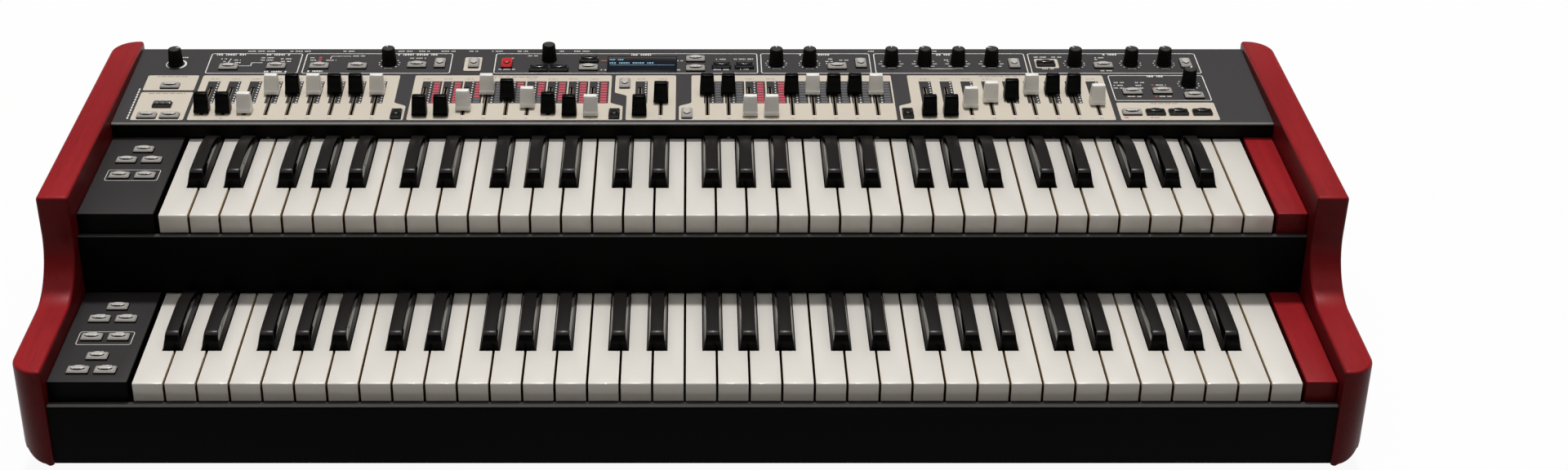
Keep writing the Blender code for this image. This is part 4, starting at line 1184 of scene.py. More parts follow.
@dataclass
class Keyboard:
    """One manual: white keys with eased edges and glossy sharps between them."""

    manual: str
    front: float
    top: float
    depth: float = 0.015
    length: float = KEY_LENGTH
    spacing: float = 0.001
    shown_spacing: float = 0.0018
    lit_side: float = 0.0034
    front_rounding: float = 0.0010
    edge_rounding: float = 0.0004
    setback: float = 0.0455
    sharp_length: float = 0.0785
    sharp_rise: float = 0.0129
    sharp_width: float = 0.014
    sharp_top_width: float = 0.0098
    sharp_slope: float = 0.0045
    sharp_level: float = 0.0405
    sharp_rear_drop: float = 0.0074
    sharp_rounding: float = 0.0030
    sharp_edge_rounding: float = 0.0006
    sharp_face_share: float = 0.55
    clearance: float = 0.0007
    white_tail: float = 0.009
    sharp_tail: float = 0.007
    tail_drop: float = 0.0071
    tail_height: float = 0.005
    tail_past_hinge: float = 0.005
    lever: float = 0.160
    white_link_setback: float = 0.0125
    sharp_link_setback: float = 0.006
    link_width: float = 0.005
    link_height: float = 0.0048
    singles: dict[int, str] = field(default_factory=lambda: {14: "c", 15: "d"})
    offsets: dict[int, float] = field(
        default_factory=lambda: {0: -0.0020, 1: 0.0030, 3: -0.0029, 4: 0.0002, 5: 0.0038}
    )

    def sharps(self) -> dict[int, float]:
        """Returns the centre of each sharp by the white key before it.

        Returns:
            The centres in X.
        """
        return {
            white: KEYBOARD_LEFT + (white + 1) * KEY_PITCH + self.offsets[white % 7]
            for white in range(WHITE_KEYS - 1)
            if white % 7 in self.offsets
        }

    def white_plan(self, white: int) -> list[Point2]:
        """Returns the plan of a white key, notched for the sharps beside it.

        Args:
            white: Its number from the left.

        Returns:
            Its corners in X and Y.
        """
        sharps = self.sharps()
        notch = self.sharp_width / 2 + self.clearance
        left = KEYBOARD_LEFT + white * KEY_PITCH + self.shown_spacing / 2
        right = left + KEY_PITCH - self.shown_spacing
        start = self.front + self.setback - self.clearance
        rear = self.front + self.length
        plan = [(left, self.front), (right, self.front)]
        rear_right = right
        if white in sharps:
            rear_right = sharps[white] - notch
            plan += [(right, start), (rear_right, start)]
        rear_left = sharps[white - 1] + notch if white - 1 in sharps else left
        plan += [(rear_right, rear), (rear_left, rear)]
        if white - 1 in sharps:
            plan += [(rear_left, start), (left, start)]
        return plan

    def white_key(self, white: int) -> Solid:
        """Shapes a white key with a rounded front edge.

        Args:
            white: Its number from the left.

        Returns:
            The key.
        """
        solid = Solid.slab(self.white_plan(white), self.top - self.depth, self.top)

        def front_edge(edge: Edge) -> bool:
            """Says whether an edge is the top one at the front."""
            return all(vert.co.z > self.top - GAP and vert.co.y < self.front + GAP for vert in edge.verts)

        def other_edge(edge: Edge) -> bool:
            """Says whether an edge is at the top or at a corner of the front."""
            high = all(vert.co.z > self.top - 0.0005 for vert in edge.verts)
            corner = all(vert.co.y < self.front + GAP for vert in edge.verts)
            return high or corner

        solid.eased(self.front_rounding, 3, front_edge)
        solid.eased(self.edge_rounding, 2, other_edge, 50.0)
        # split where the lit band of the sides ends and the painted shade below starts
        solid.split((0, 0, self.top - self.lit_side), (0, 0, 1))
        return solid

    def tail(self, centre: float, width: float, start: float) -> Solid:
        """Returns the tail that runs back from a key past its hinge.

        Args:
            centre: Its centre in X.
            width: Its width.
            start: Where it leaves the key.

        Returns:
            The tail.
        """
        high = self.top - self.tail_drop
        end = self.front + self.lever + self.tail_past_hinge
        low = (centre - width / 2, start, high - self.tail_height)
        return Solid.block(low, (centre + width / 2, end, high)).eased(0.0003, 1)

    def sharp(self, centre: float) -> Solid:
        """Shapes a sharp: upright to its waist, then tapered to its top and sloped at its front.

        Args:
            centre: Its centre in X.

        Returns:
            The sharp.
        """
        start = self.front + self.setback
        waist = self.top + self.spacing
        half = self.sharp_width / 2
        foot = self.top - self.tail_drop - self.tail_height
        solid = Solid.block((centre - half, start, foot), (centre + half, start + self.sharp_length, waist))
        bm = solid.bm
        bm.faces.ensure_lookup_table()
        cap = max(bm.faces, key=lambda face: face.calc_center_median().z)
        grown = bmesh.ops.extrude_face_region(bm, geom=[cap])
        upper = [item for item in grown["geom"] if isinstance(item, bmesh.types.BMVert)]
        bmesh.ops.translate(bm, verts=upper, vec=(0, 0, self.sharp_rise - self.spacing))
        narrow = self.sharp_top_width / self.sharp_width
        bmesh.ops.scale(bm, verts=upper, vec=(narrow, 1, 1), space=Matrix.Translation((-centre, 0, 0)))
        forward = [vert for vert in upper if vert.co.y < start + GAP]
        bmesh.ops.translate(bm, verts=forward, vec=(0, self.sharp_slope, 0))
        top = self.top + self.sharp_rise

        def front_rim(edge: Edge) -> bool:
            """Says whether an edge is at the top of the front."""
            rim = start + self.sharp_slope + GAP
            return all(vert.co.z > top - GAP and vert.co.y < rim for vert in edge.verts)

        solid.eased(self.sharp_rounding, 6, front_rim)
        # split where the painted shade on the low sides starts
        solid.split((0, 0, self.top + self.sharp_face_share * self.sharp_rise), (0, 0, 1))
        level, steps = start + self.sharp_level, 6
        fall = self.sharp_length - self.sharp_level
        for step in range(steps):
            solid.split((0, level + fall * step / steps, 0), (0, 1, 0))
        for vert in bm.verts:
            if vert.co.z > top - GAP and vert.co.y > level:
                vert.co.z -= self.sharp_rear_drop * ((vert.co.y - level) / fall) ** 2

        def shown(edge: Edge) -> bool:
            """Says whether an edge reaches above the waist."""
            return max(vert.co.z for vert in edge.verts) > waist + GAP

        return solid.eased(self.sharp_edge_rounding, 2, shown, 20.0)

    def build(self) -> None:
        """Builds the two banks and the four single keys, each riding on its own body."""
        sharps = self.sharps()
        groups: dict[str, tuple[list[int], list[int]]] = {
            "white_keys": ([white for white in range(WHITE_KEYS) if white not in self.singles], []),
            "black_keys": ([], [white for white in sharps if white not in self.singles]),
        }
        for white, note in self.singles.items():
            groups[f"key_{note}"] = ([white], [])
            groups[f"key_{note}_sharp"] = ([], [white])
        for name, (whites, blacks) in groups.items():
            node = f"{self.manual}_{name}"
            piece = Piece(f"{node}_moulded", node)
            for white in whites:
                self.add_white(piece, white)
            for white in blacks:
                self.add_sharp(piece, sharps[white])
            for bank, setback in ((whites, self.white_link_setback), (blacks, self.sharp_link_setback)):
                if len(bank) > 1:
                    self.add_link(piece, bank[0], bank[-1], setback)
            slot = "ivory_plastic" if whites else "ebony_plastic"
            piece.done(replaces=[node], slot=slot, angle=30)

    def add_white(self, piece: Piece, white: int) -> None:
        """Adds a white key and its tail to a piece.

        Args:
            piece: The piece.
            white: The key's number from the left.
        """
        plan = self.white_plan(white)
        rear = [x for x, y in plan if y > self.front + self.length - GAP]

        def bare_side(face: Face) -> bool:
            """Says whether a face is at a side of the key."""
            return abs(face.normal.x) > 0.9

        def shaded_side(face: Face) -> bool:
            """Says whether a face is at a side, and low or beside a sharp."""
            centre = face.calc_center_median()
            beside_sharp = centre.y > self.front + 0.6 * self.length
            return bare_side(face) and (centre.z < self.top - self.lit_side or beside_sharp)

        # sides take painted warm bounce light, low sides and sides beside a sharp painted shade
        sides = [(F.ivory_painted_warm_light, bare_side), (F.ivory_painted_shade, shaded_side)]
        piece.add(self.white_key(white), F.ivory, others=sides)
        start = self.front + self.length - self.tail_height
        piece.add(self.tail(sum(rear) / 2, self.white_tail, start), F.stem)

    def add_sharp(self, piece: Piece, centre: float) -> None:
        """Adds a sharp and its tail to a piece.

        Args:
            piece: The piece.
            centre: The sharp's centre in X.
        """

        def side(face: Face) -> bool:
            """Says whether a face is at a side of the sharp."""
            return abs(face.normal.x) > 0.7

        def fore(face: Face) -> bool:
            """Says whether a face is at the front, or low at a side."""
            low = face.calc_center_median().z < self.top + self.sharp_face_share * self.sharp_rise
            return face.normal.y < -0.88 or (side(face) and low)

        # front faces and low sides take painted shade
        piece.add(self.sharp(centre), F.ebony, others=[(F.ebony_side, side), (F.ebony_painted_shade, fore)])
        start = self.front + self.setback + self.sharp_length - self.tail_height
        piece.add(self.tail(centre, self.sharp_tail, start), F.stem)

    def add_link(self, piece: Piece, first: int, last: int, setback: float) -> None:
        """Adds the bar that joins a bank under its tails.

        Args:
            piece: The piece.
            first: The bank's first white key.
            last: Its last.
            setback: How far the bar is before the hinge.
        """
        start = self.front + self.lever - setback
        high = self.top - self.tail_drop - self.tail_height + 0.0002
        left, right = (KEYBOARD_LEFT + (white + 0.5) * KEY_PITCH for white in (first, last))
        low = (left, start, high - self.link_height)
        piece.block(low, (right, start + self.link_width, high), F.stem, 0.0004)


@dataclass
class Drawbar:
    """One drawbar: its place across, its setting, and whether its cap is white."""

    x: float
    setting: int
    white: bool


FULL_SETTING = 8


@dataclass
class DrawbarSet:
    """All 38 drawbars, in banks of one setting, each bank on its own body."""

    pitch: float = 0.01725
    step: float = 0.0046
    cap_front: float = 0.0084
    cap_length: float = 0.0115
    cap_height: float = 0.0157
    cap_width: float = 0.0122
    cap_top_width: float = 0.0106
    cap_lift: float = 0.0016
    stem_behind: float = 0.0082
    stem_width: float = 0.0018
    stem_length: float = 0.006
    link_behind: float = 0.0429
    bar_width: float = 0.004
    bar_thickness: float = 0.0011
    bar_spacing: float = 0.0016
    bars_below: float = 0.0035
    sheet: float = 0.0025
    groups: tuple[tuple[float, str, str], ...] = (
        (0.0697, "777000000", "BBWWBWBBW"),
        (0.2459, "886025788", "BBWWBWBBW"),
        (0.4231, "83", "BB"),
        (0.4781, "008800000", "BBWWBWBBW"),
        (0.6571, "885320004", "BBWWBWBBW"),
    )

    def drawbars(self) -> list[Drawbar]:
        """Returns every drawbar from the left.

        Returns:
            The drawbars.
        """
        return [
            Drawbar(LEFT + start + index * self.pitch, int(setting), colours[index] == "W")
            for start, settings, colours in self.groups
            for index, setting in enumerate(settings)
        ]

    def cap(self) -> Solid:
        """Shapes a cap at the front of its travel: scooped in front, sloped behind, narrower on top.

        Returns:
            The cap, standing on the panel at x 0.
        """
        low, height = self.cap_lift, self.cap_height
        rear = ((0.0, 0.0), (1.0, 0.0), (1.0, 0.13), (0.93, 0.40), (0.86, 0.75), (0.80, 0.94), (0.72, 0.99))
        top = ((0.64, 1.0), (0.44, 1.0), (0.36, 0.98), (0.31, 0.92))
        scoop = ((0.25, 0.72), (0.205, 0.50), (0.17, 0.32), (0.13, 0.21), (0.07, 0.165), (0.0, 0.15))
        outline = [(along * self.cap_length, low + up * height) for along, up in (*rear, *top, *scoop)]
        half = self.cap_width / 2
        solid = Solid.slab(outline, -half, half, SIDE_VIEW)
        for vert in solid.bm.verts:
            share = (vert.co.z - low) / height
            vert.co.x *= 1 + share * (self.cap_top_width / self.cap_width - 1)

        def side_rim(edge: Edge) -> bool:
            """Says whether an edge is at a side of the cap, above its foot."""
            first, second = (vert.co for vert in edge.verts)
            same_side = first.x * second.x > 0
            return same_side and max(first.z, second.z) > low + 0.1 * height

        return solid.eased(0.0009, 3, side_rim, 45.0)

    def build(self) -> None:
        """Builds each bank's caps and the stems and bar that carry them."""
        settings = sorted({bar.setting for bar in self.drawbars()}, reverse=True)
        cap = self.cap()
        for level, setting in enumerate(settings):
            body = f"drawbars_at_{setting}"
            places = [bar for bar in self.drawbars() if bar.setting == setting]
            front = self.cap_front + (FULL_SETTING - setting) * self.step
            for label, finish, white in (("black", F.black_cap, False), ("white", F.white_cap, True)):
                shown = [bar.x for bar in places if bar.white == white]
                if not shown:
                    continue
                piece = Piece(f"{body}_{label}_caps", body)
                for x in shown:
                    piece.add(cap.copy(), finish, Matrix.Translation((x, front, 0)))
                piece.done(PANEL, [body], "drawbar_plastic", 28)
            self.build_stems(body, front + self.stem_behind, level, [bar.x for bar in places])

    def build_stems(self, body: str, middle: float, level: int, places: Sequence[float]) -> None:
        """Builds the stems under a bank's caps and the bar that joins them under the panel.

        Args:
            body: The bank's body.
            middle: The middle of its stems along the panel.
            level: How many bars lie above its own.
            places: The drawbars' places in X.
        """
        stem_front = middle - self.stem_length / 2
        bar_front = middle + self.link_behind - self.bar_width / 2
        high = -self.sheet - self.bars_below - level * self.bar_spacing
        low = high - self.bar_thickness
        half = self.stem_width / 2
        narrow = half - GAP / 2
        piece = Piece(f"{body}_stems", body)
        spine = (places[0] - half, bar_front, low)
        piece.block(spine, (places[-1] + half, bar_front + self.bar_width, high), F.stem, 0.0002)
        for x in places:
            arm = (x - half, stem_front, low + 0.0002)
            piece.block(arm, (x + half, bar_front + 0.001, high - 0.0002), F.stem)
            foot = (x - narrow, stem_front, low + 0.0003)
            stem = Solid.block(foot, (x + narrow, stem_front + self.stem_length, 2 * self.cap_lift))
            piece.add(stem.eased(0.0002, 1, upright), F.stem)
        piece.done(PANEL, [body], "drawbar_plastic")


class KnobStyle(Enum):
    """What is printed round each knob; an endless one has nothing and no pointer."""

    DOTTED = "dotted"
    DASHED = "dashed"
    WEDGE = "wedge"
    ENDLESS = "endless"


@dataclass
class Knob:
    """A ribbed knob with a grey top, turned to where the photograph shows it."""

    name: str
    x: float
    y: float
    turn: float
    style: KnobStyle = KnobStyle.DOTTED
    base_radius: float = 0.0062
    top_radius: float = 0.0053
    height: float = 0.0141
    lift: float = 0.0005
    ribs: int = 28
    rib_depth: float = 0.00022
    inset: float = 0.0008
    shaft_radius: float = 0.003
    shaft_depth: float = 0.0095

    def side(self) -> Solid:
        """Shapes the ribbed side with its plain skirt and rounded top.

        Returns:
            The knob's body, without its top disc.
        """
        low, high = self.lift, self.lift + self.height
        taper = self.top_radius - self.base_radius
        levels = [0.995, 0.985, 0.955, 0.93, 0.5, 0.14, 0.11, 0.0]
        insets = [0.9, 0.35, 0.05, 0.0, 0.0, 0.0, -0.25, -0.25]
        profile = [(0.0, high)]
        for level, inset in zip(levels, insets):
            radius = self.base_radius + taper * level - inset * self.inset
            profile.append((radius, low + level * self.height))
        shaft = self.shaft_radius
        profile += [(shaft, low), (shaft, -self.shaft_depth), (0.0, -self.shaft_depth)]
        solid = Solid.turned(profile, 4 * self.ribs)
        ribbed_low, ribbed_high = low + 0.13 * self.height, low + 0.96 * self.height
        for vert in solid.bm.verts:
            if ribbed_low < vert.co.z < ribbed_high:
                angle = math.atan2(vert.co.y, vert.co.x)
                radius = math.hypot(vert.co.x, vert.co.y)
                share = 1 - self.rib_depth / radius * (0.5 - 0.5 * math.cos(self.ribs * angle))
                vert.co.x *= share
                vert.co.y *= share
        return solid

    def build(self) -> None:
        """Builds the knob on its own body."""
        place = Matrix.Translation((self.x, self.y, 0)) @ Matrix.Rotation(-math.radians(self.turn), 4, "Z")
        top = self.lift + self.height
        piece = Piece(f"{self.name}_ribbed", self.name)
        piece.add(self.side(), F.knob_side, place)
        disc = ((0.0, 0.00022), (0.0035, 0.00020), (0.0044, 0.00008), (0.0045, -0.0004), (0.0, -0.0004))
        piece.add(Solid.turned([(radius, top + rise) for radius, rise in disc], 36), F.knob_top, place)
        if self.style is not KnobStyle.ENDLESS:
            rim, half = self.top_radius, 0.0005
            corners = [(0.0, 0.0006), (0.0008, rim - 0.0008), (-0.0008, rim - 0.0008)]
            piece.add(Solid.slab(corners, top - 0.0006, top + 0.00028), F.light_ink, place)
            stripe = Solid.block((-half, rim - 0.0012, top - 0.0046), (half, rim + 0.00018, top - 0.0010))
            piece.add(stripe.eased(0.0002, 1), F.light_ink, place)
        piece.done(PANEL, [self.name], "knob_plastic", 30)


@dataclass
class PanelButtons:
    """The panel's push buttons, all on one keypad under the sheet."""

    light_wide: tuple[Point2, ...] = (
        (0.0778, 0.0963), (0.1175, 0.0978), (0.1534, 0.0980), (0.1853, 0.0978), (0.2351, 0.1000),
        (0.3790, 0.0952), (0.4686, 0.0936), (0.4686, 0.1110), (0.5871, 0.0970), (0.8100, 0.0991),
        (0.0354, 0.0624), (0.0264, 0.0104), (0.0448, 0.0104), (0.8268, 0.0518), (0.8517, 0.0529),
        (0.8764, 0.0450), (0.8210, 0.0160),
    )
    black_wide: tuple[Point2, ...] = (
        (0.3375, 0.0936), (0.3544, 0.0936), (0.3790, 0.1098), (0.4903, 0.0987), (0.5094, 0.0987),
        (0.7623, 0.1026), (0.8400, 0.0160), (0.8585, 0.0160), (0.8777, 0.0160),
    )
    light_tall: tuple[Point2, ...] = (
        (0.2542, 0.1033), (0.2826, 0.1033), (0.6073, 0.1033), (0.7358, 0.1025), (0.8797, 0.1033),
        (0.4102, 0.0664), (0.46150, 0.0140),
    )
    black_tall: tuple[Point2, ...] = ((0.2271, 0.0130), (0.4029, 0.0133), (0.6399, 0.0140))
    red_tall: Point2 = (0.3103, 0.1033)
    window_wide: Point2 = (0.0354, 0.0291)
    web_front: float = 0.0760
    web_rear: float = 0.0845
    web_top: float = -0.0028
    web_thickness: float = 0.0012
    branch: float = 0.003

    def build(self) -> None:
        """Builds the buttons by colour, and the window button."""
        wide, tall = PushButton(), PushButton(tall=True)
        sets = (
            ("light", self.light_wide, self.light_tall, F.button, F.button_pad),
            ("black", self.black_wide, self.black_tall, F.black_button, F.black_button),
            ("red", (), (self.red_tall,), F.red_button, F.red_button),
        )
        for label, across, along, body, pad in sets:
            piece = Piece(f"panel_buttons_{label}", "panel_buttons")
            for x, y in across:
                wide.add_to(piece, LEFT + x, y, 0.0, body, pad)
            for x, y in along:
                tall.add_to(piece, LEFT + x, y, 0.0, body, pad)
            piece.done(PANEL, ["panel_buttons"], "button_plastic")
        self.build_window()
        self.build_web()

    def build_window(self) -> None:
        """Builds the black button with three smoked windows on its top."""
        x, y = LEFT + self.window_wide[0], self.window_wide[1]
        piece = Piece("panel_button_with_windows", "panel_buttons")
        place = Matrix.Translation((x, y, 0))
        piece.add(PushButton().base(), F.black_button, place)
        pane = 0.28 * PushButton.length
        rear = PushButton.width / 2 - 0.0008
        for centre in (-1.08 * pane, 0.0, 1.08 * pane):
            block = Solid.block((centre - pane / 2, -0.0010, 0.0018), (centre + pane / 2, rear, 0.0029))
            piece.add(block.eased(0.0003, 2), F.smoked, place)
        piece.done(PANEL, ["panel_buttons"], "button_plastic")

    def build_web(self) -> None:
        """Builds the strip of the keypad under the sheet, with its branches to the rows of buttons."""
        piece = Piece("panel_keypad_web", "panel_buttons")
        high, low = self.web_top, self.web_top - self.web_thickness
        places = (*self.light_wide, *self.black_wide, *self.light_tall, *self.black_tall, self.red_tall)
        left = LEFT + min(x for x, _ in places)
        right = LEFT + max(x for x, _ in places)
        piece.block((left, self.web_front, low), (right, self.web_rear, high), F.button_base_and_painted_shade, 0.0002)
        for x, y in places:
            if y > self.web_rear:
                start = (LEFT + x - self.branch, self.web_rear - 0.0005, low + 0.0001)
                piece.block(start, (LEFT + x + self.branch, y, high - 0.0001), F.button_base_and_painted_shade)
        piece.done(PANEL, ["panel_buttons"], "button_plastic")


@dataclass
class Display:
    """The display window with rows of plain marks behind its glass."""

    left: float = LEFT + 0.3946
    width: float = 0.0584
    front: float = 0.0867
    depth: float = 0.0308

    def build(self) -> None:
        """Builds the window, its frame and its marks."""
        low = (self.left + GAP, self.front + GAP, -0.0025)
        high = (self.left + self.width - GAP, self.front + self.depth - GAP, -0.00005)
        piece = Piece("display_window_glazed")
        piece.add(Solid.block(low, high).eased(0.0004, 2), F.window)
        piece.done(PANEL, ["display_window"], "display_window")
        marks = Print("display_marks", F.glyph, -0.00005, place=PANEL)
        left = self.left / MM
        marks.caption(left + 7.6, 111.5, 11.8, 2.2)
        marks.caption(left + 20.7, 105.4, 37.6, 2.5)
        marks.bar(left + 2.0, 101.4, left + 56.4, 101.9)
        marks.done()


def panel_layer(name: str, ink: Finish, level: int = 0) -> Print:
    """Starts a layer of print on the control panel."""
    return Print(name, ink, level=level, place=PANEL)


class PanelPrint:
    """Everything printed on the control panel: cream areas, scales, outlines, lights and captions."""

    areas: tuple[tuple[Point2, ...], ...] = (
        ((-452.0, 55.8), (-409.9, 55.8), (-409.9, 82.4), (-452.0, 82.4)),
        ((-452.0, 4.3), (-409.5, 4.3), (-409.5, 52.4), (-452.0, 52.4)),
        ((-406.4, 4.3), (-232.8, 4.3), (-232.8, 28.3), (-242.8, 34.2), (-242.8, 82.4), (-406.4, 82.4)),
        ((-230.0, 4.3), (-56.6, 4.3), (-56.6, 28.3), (-66.8, 33.6), (-66.8, 82.4), (-230.0, 82.4)),
        ((-53.8, 4.3), (-13.6, 4.3), (-13.6, 82.4), (-63.7, 82.4), (-63.7, 51.6), (-53.8, 46.6)),
        ((-10.9, 4.3), (164.7, 4.3), (164.7, 82.4), (-0.8, 82.4), (-0.8, 33.6), (-10.9, 28.3)),
        ((167.8, 4.3), (340.5, 4.3), (340.5, 82.4), (178.2, 82.4), (178.2, 33.6), (167.8, 28.6)),
        ((344.7, 4.3), (424.1, 4.3), (424.1, 34.0), (344.7, 34.0)),
        ((-191.4, 91.0), (-177.0, 91.0), (-177.0, 115.8), (-191.4, 115.8)),
        ((287.6, 95.9), (307.0, 95.9), (307.0, 112.8), (287.6, 112.8)),
    )
    sections: tuple[tuple[float, float], ...] = (
        (-406.4, -329.2), (-326.0, -202.2), (-166.0, 54.8), (57.3, 149.5), (152.7, 280.2),
        (282.8, 424.5),
    )
    ladders: dict[int, str] = {1: "886025788", 3: "008800000"}
    slot_half = 1.4
    slot_front = 12.5
    slot_rear = 60.5
    slot_line = 0.35
    slot_end: tuple[Point2, ...] = ((-2.1, 56.6), (2.1, 56.6), (2.1, 61.6), (-2.1, 61.6))
    scale_front = 32.9
    scale_rear = 71.6
    plain_scale = (4.0, 6.0)
    ladder_scale = (2.7, 13.3)
    dots_right = 4.45
    dots_front = 34.8
    dot_pitch = 4.3
    ladder_sides = (6.7, 11.9)
    ladder_front = 33.9
    ladder_pitch = 4.62
    ladder_light = 3.3
    section_front = 86.1
    section_rear = 123.0
    outline_width = 0.8
    outline_corner = 2.4
    reverb_box = (344.9, 37.4, 423.9, 82.6)
    wedge_radius = 8.1
    ring_radius = 8.6
    ring_dots = 11
    ring_sweep = 135.0
    mark_line = 0.7
    mark_runs: tuple[tuple[Point2, ...], ...] = (
        ((-381.0, 100.0), (-370.2, 100.0), (-370.2, 105.8), (-361.0, 105.8)),
        ((-389.9, 105.5), (-388.6, 113.5)),
        ((-304.9, 113.0), (-304.6, 117.8), (-288.0, 117.8)),
        ((191.6, 94.6), (226.4, 94.6)),
    )

    def __init__(self, drawbars: DrawbarSet) -> None:
        """Holds the drawbars that the print goes round."""
        self.drawbars = drawbars

    def slots(self) -> list[float]:
        """Returns the slots' places in millimetres."""
        return [x for _, _, x in self.columns()]

    def columns(self) -> Iterable[tuple[int, int, float]]:
        """Gives each drawbar in turn.

        Yields:
            The number of its group, its number in the group and its place in millimetres.
        """
        for group, (start, settings, _) in enumerate(self.drawbars.groups):
            for index in range(len(settings)):
                yield group, index, (LEFT + start + index * self.drawbars.pitch) / MM

    def slot_cutter(self) -> Solid:
        """Returns the shapes of all the slots, which the ink leaves open.

        Returns:
            One shape of them all.
        """
        half, front, rear = self.slot_half, self.slot_front * MM, self.slot_rear * MM
        return Solid.gathered(
            Solid.block(((x - half) * MM, front, -MM), ((x + half) * MM, rear, MM)) for x in self.slots()
        )

    def build(self) -> None:
        """Prints every layer."""
        self.cream()
        self.scales()
        self.lights()
        self.outlines()
        self.knob_rings()
        self.captions()

    def cream(self) -> None:
        """Prints the cream areas."""
        layer = panel_layer("panel_print_cream", F.cream_ink)
        for area in self.areas:
            slots = [self.slot_cutter()] if len(area) == 6 else []
            layer.area(area, 1.6, slots)
        layer.done()

    def scales(self) -> None:
        """Prints the dark scale behind each slot and the line down from it, and paints shade round each
        slot's rear end.
        """
        layer = panel_layer("panel_print_scales", F.dark_ink, 1)
        ends = panel_layer("panel_slot_ends_painted_shade", F.panel_painted_shade, 2)
        open_slots = self.slot_cutter()
        half, front, rear = self.slot_half, self.scale_front, self.scale_rear
        line_front = self.slot_front - 0.2
        for group, _, x in self.columns():
            before, beyond = self.ladder_scale if group in self.ladders else self.plain_scale
            layer.bar(x - before, front, x - half, rear)
            layer.bar(x + half, front, x + beyond, rear)
            layer.bar(x - half, self.slot_rear, x + half, rear)
            layer.bar(x - half - self.slot_line, line_front, x - half, front)
            layer.bar(x + half, line_front, x + half + self.slot_line, front)
            # a darker patch round each slot's rear end: painted shade
            ends.area([(x + across, along) for across, along in self.slot_end], 1.9, [open_slots])
        layer.done()
        ends.done()

    def lights(self) -> None:
        """Prints the dots and the ladders of lights beside the slots."""
        dots = panel_layer("panel_light_dots", F.white_light, 2)
        lit = panel_layer("panel_ladders_lit", F.red_light, 2)
        dull = panel_layer("panel_ladders_unlit", F.dull_light, 2)
        for group, index, x in self.columns():
            for row in range(9):
                dots.dot(x + self.dots_right, self.dots_front + row * self.dot_pitch, 0.72)
            if group in self.ladders:
                shown = int(self.ladders[group][index])
                left, right = (x + side for side in self.ladder_sides)
                for row in range(FULL_SETTING):
                    layer = lit if row >= FULL_SETTING - shown else dull
                    front = self.ladder_front + row * self.ladder_pitch
                    layer.bar(left, front, right, front + self.ladder_light)
        for layer in (dots, lit, dull):
            layer.done()

    def outlines(self) -> None:
        """Prints the light outlines round the sections of the rear row and the reverb."""
        layer = panel_layer("panel_print_outlines", F.light_ink)
        boxes = [(left, self.section_front, right, self.section_rear) for left, right in self.sections]
        for box in (*boxes, self.reverb_box):
            layer.frame(*box, self.outline_width, self.outline_corner)
        for run in self.mark_runs:
            for start, end in zip(run, run[1:]):
                layer.line(start, end, self.mark_line)
        layer.done()

    def knob_rings(self) -> None:
        """Prints the ring of dots round each knob, with a short bar at its front."""
        layer = panel_layer("panel_knob_rings", F.light_ink, 1)
        for knob in KNOBS:
            x, y = knob.x / MM, knob.y / MM
            if knob.style is KnobStyle.WEDGE:
                layer.wedge(x, y, self.wedge_radius, 150.0, 0.5, 2.2)
            if knob.style is KnobStyle.DOTTED:
                for index in range(self.ring_dots):
                    angle = math.radians(self.ring_sweep * (2 * index / (self.ring_dots - 1) - 1))
                    across, along = self.ring_radius * math.sin(angle), self.ring_radius * math.cos(angle)
                    layer.dot(x + across, y + along, 0.65)
                layer.bar(x - 3.4, y - 9.4, x + 3.4, y - 8.5)
            if knob.style is KnobStyle.DASHED:
                for side in (-1, 1):
                    layer.dash(x + side * 8.9, y, 3.2)
                    layer.dash(x + side * 6.8, y - 4.4, 3.0)
                    layer.dot(x + side * 7.8, y + 4.6, 0.7)
                layer.bar(x - 3.4, y - 8.2, x + 3.4, y - 7.2)
        layer.done()

    def captions(self) -> None:
        """Prints captions as rows of plain strokes, light on the dark sheet and grey on cream."""
        light = panel_layer("panel_captions_light", F.light_ink, 2)
        grey = panel_layer("panel_captions_grey", F.grey_ink, 2)
        red = panel_layer("panel_marks_red", F.red_light, 2)
        orange = panel_layer("panel_mark_orange", F.orange_light, 2)
        orange.bar(-77.2, 109.1, -72.1, 109.9)
        orange.done()
        for x, width in REAR_CAPTIONS:
            light.caption(x, 127.0, width, 1.7)
        for captions, height in ((TITLES, 2.5), (LIGHT_CAPTIONS, 1.6), (BOXED_CAPTIONS, 2.4)):
            for x, y, width in captions:
                light.caption(x, y, width, height)
        for index in range(12):
            light.bar(-455.2, 6.0 + 4.5 * index, -453.9, 9.2 + 4.5 * index)
        for x, y, width in RED_MARKS:
            red.dash(x, y, width, 1.8)
        for x in self.slots():
            grey.caption(x + 1.0, 75.8, 7.6, 0.9)
            grey.caption(x + 0.4, 7.0, 3.2, 0.9)
        for x, y, width in GREY_CAPTIONS:
            grey.caption(x, y, width, 1.2)
        for layer in (light, grey, red):
            layer.done()


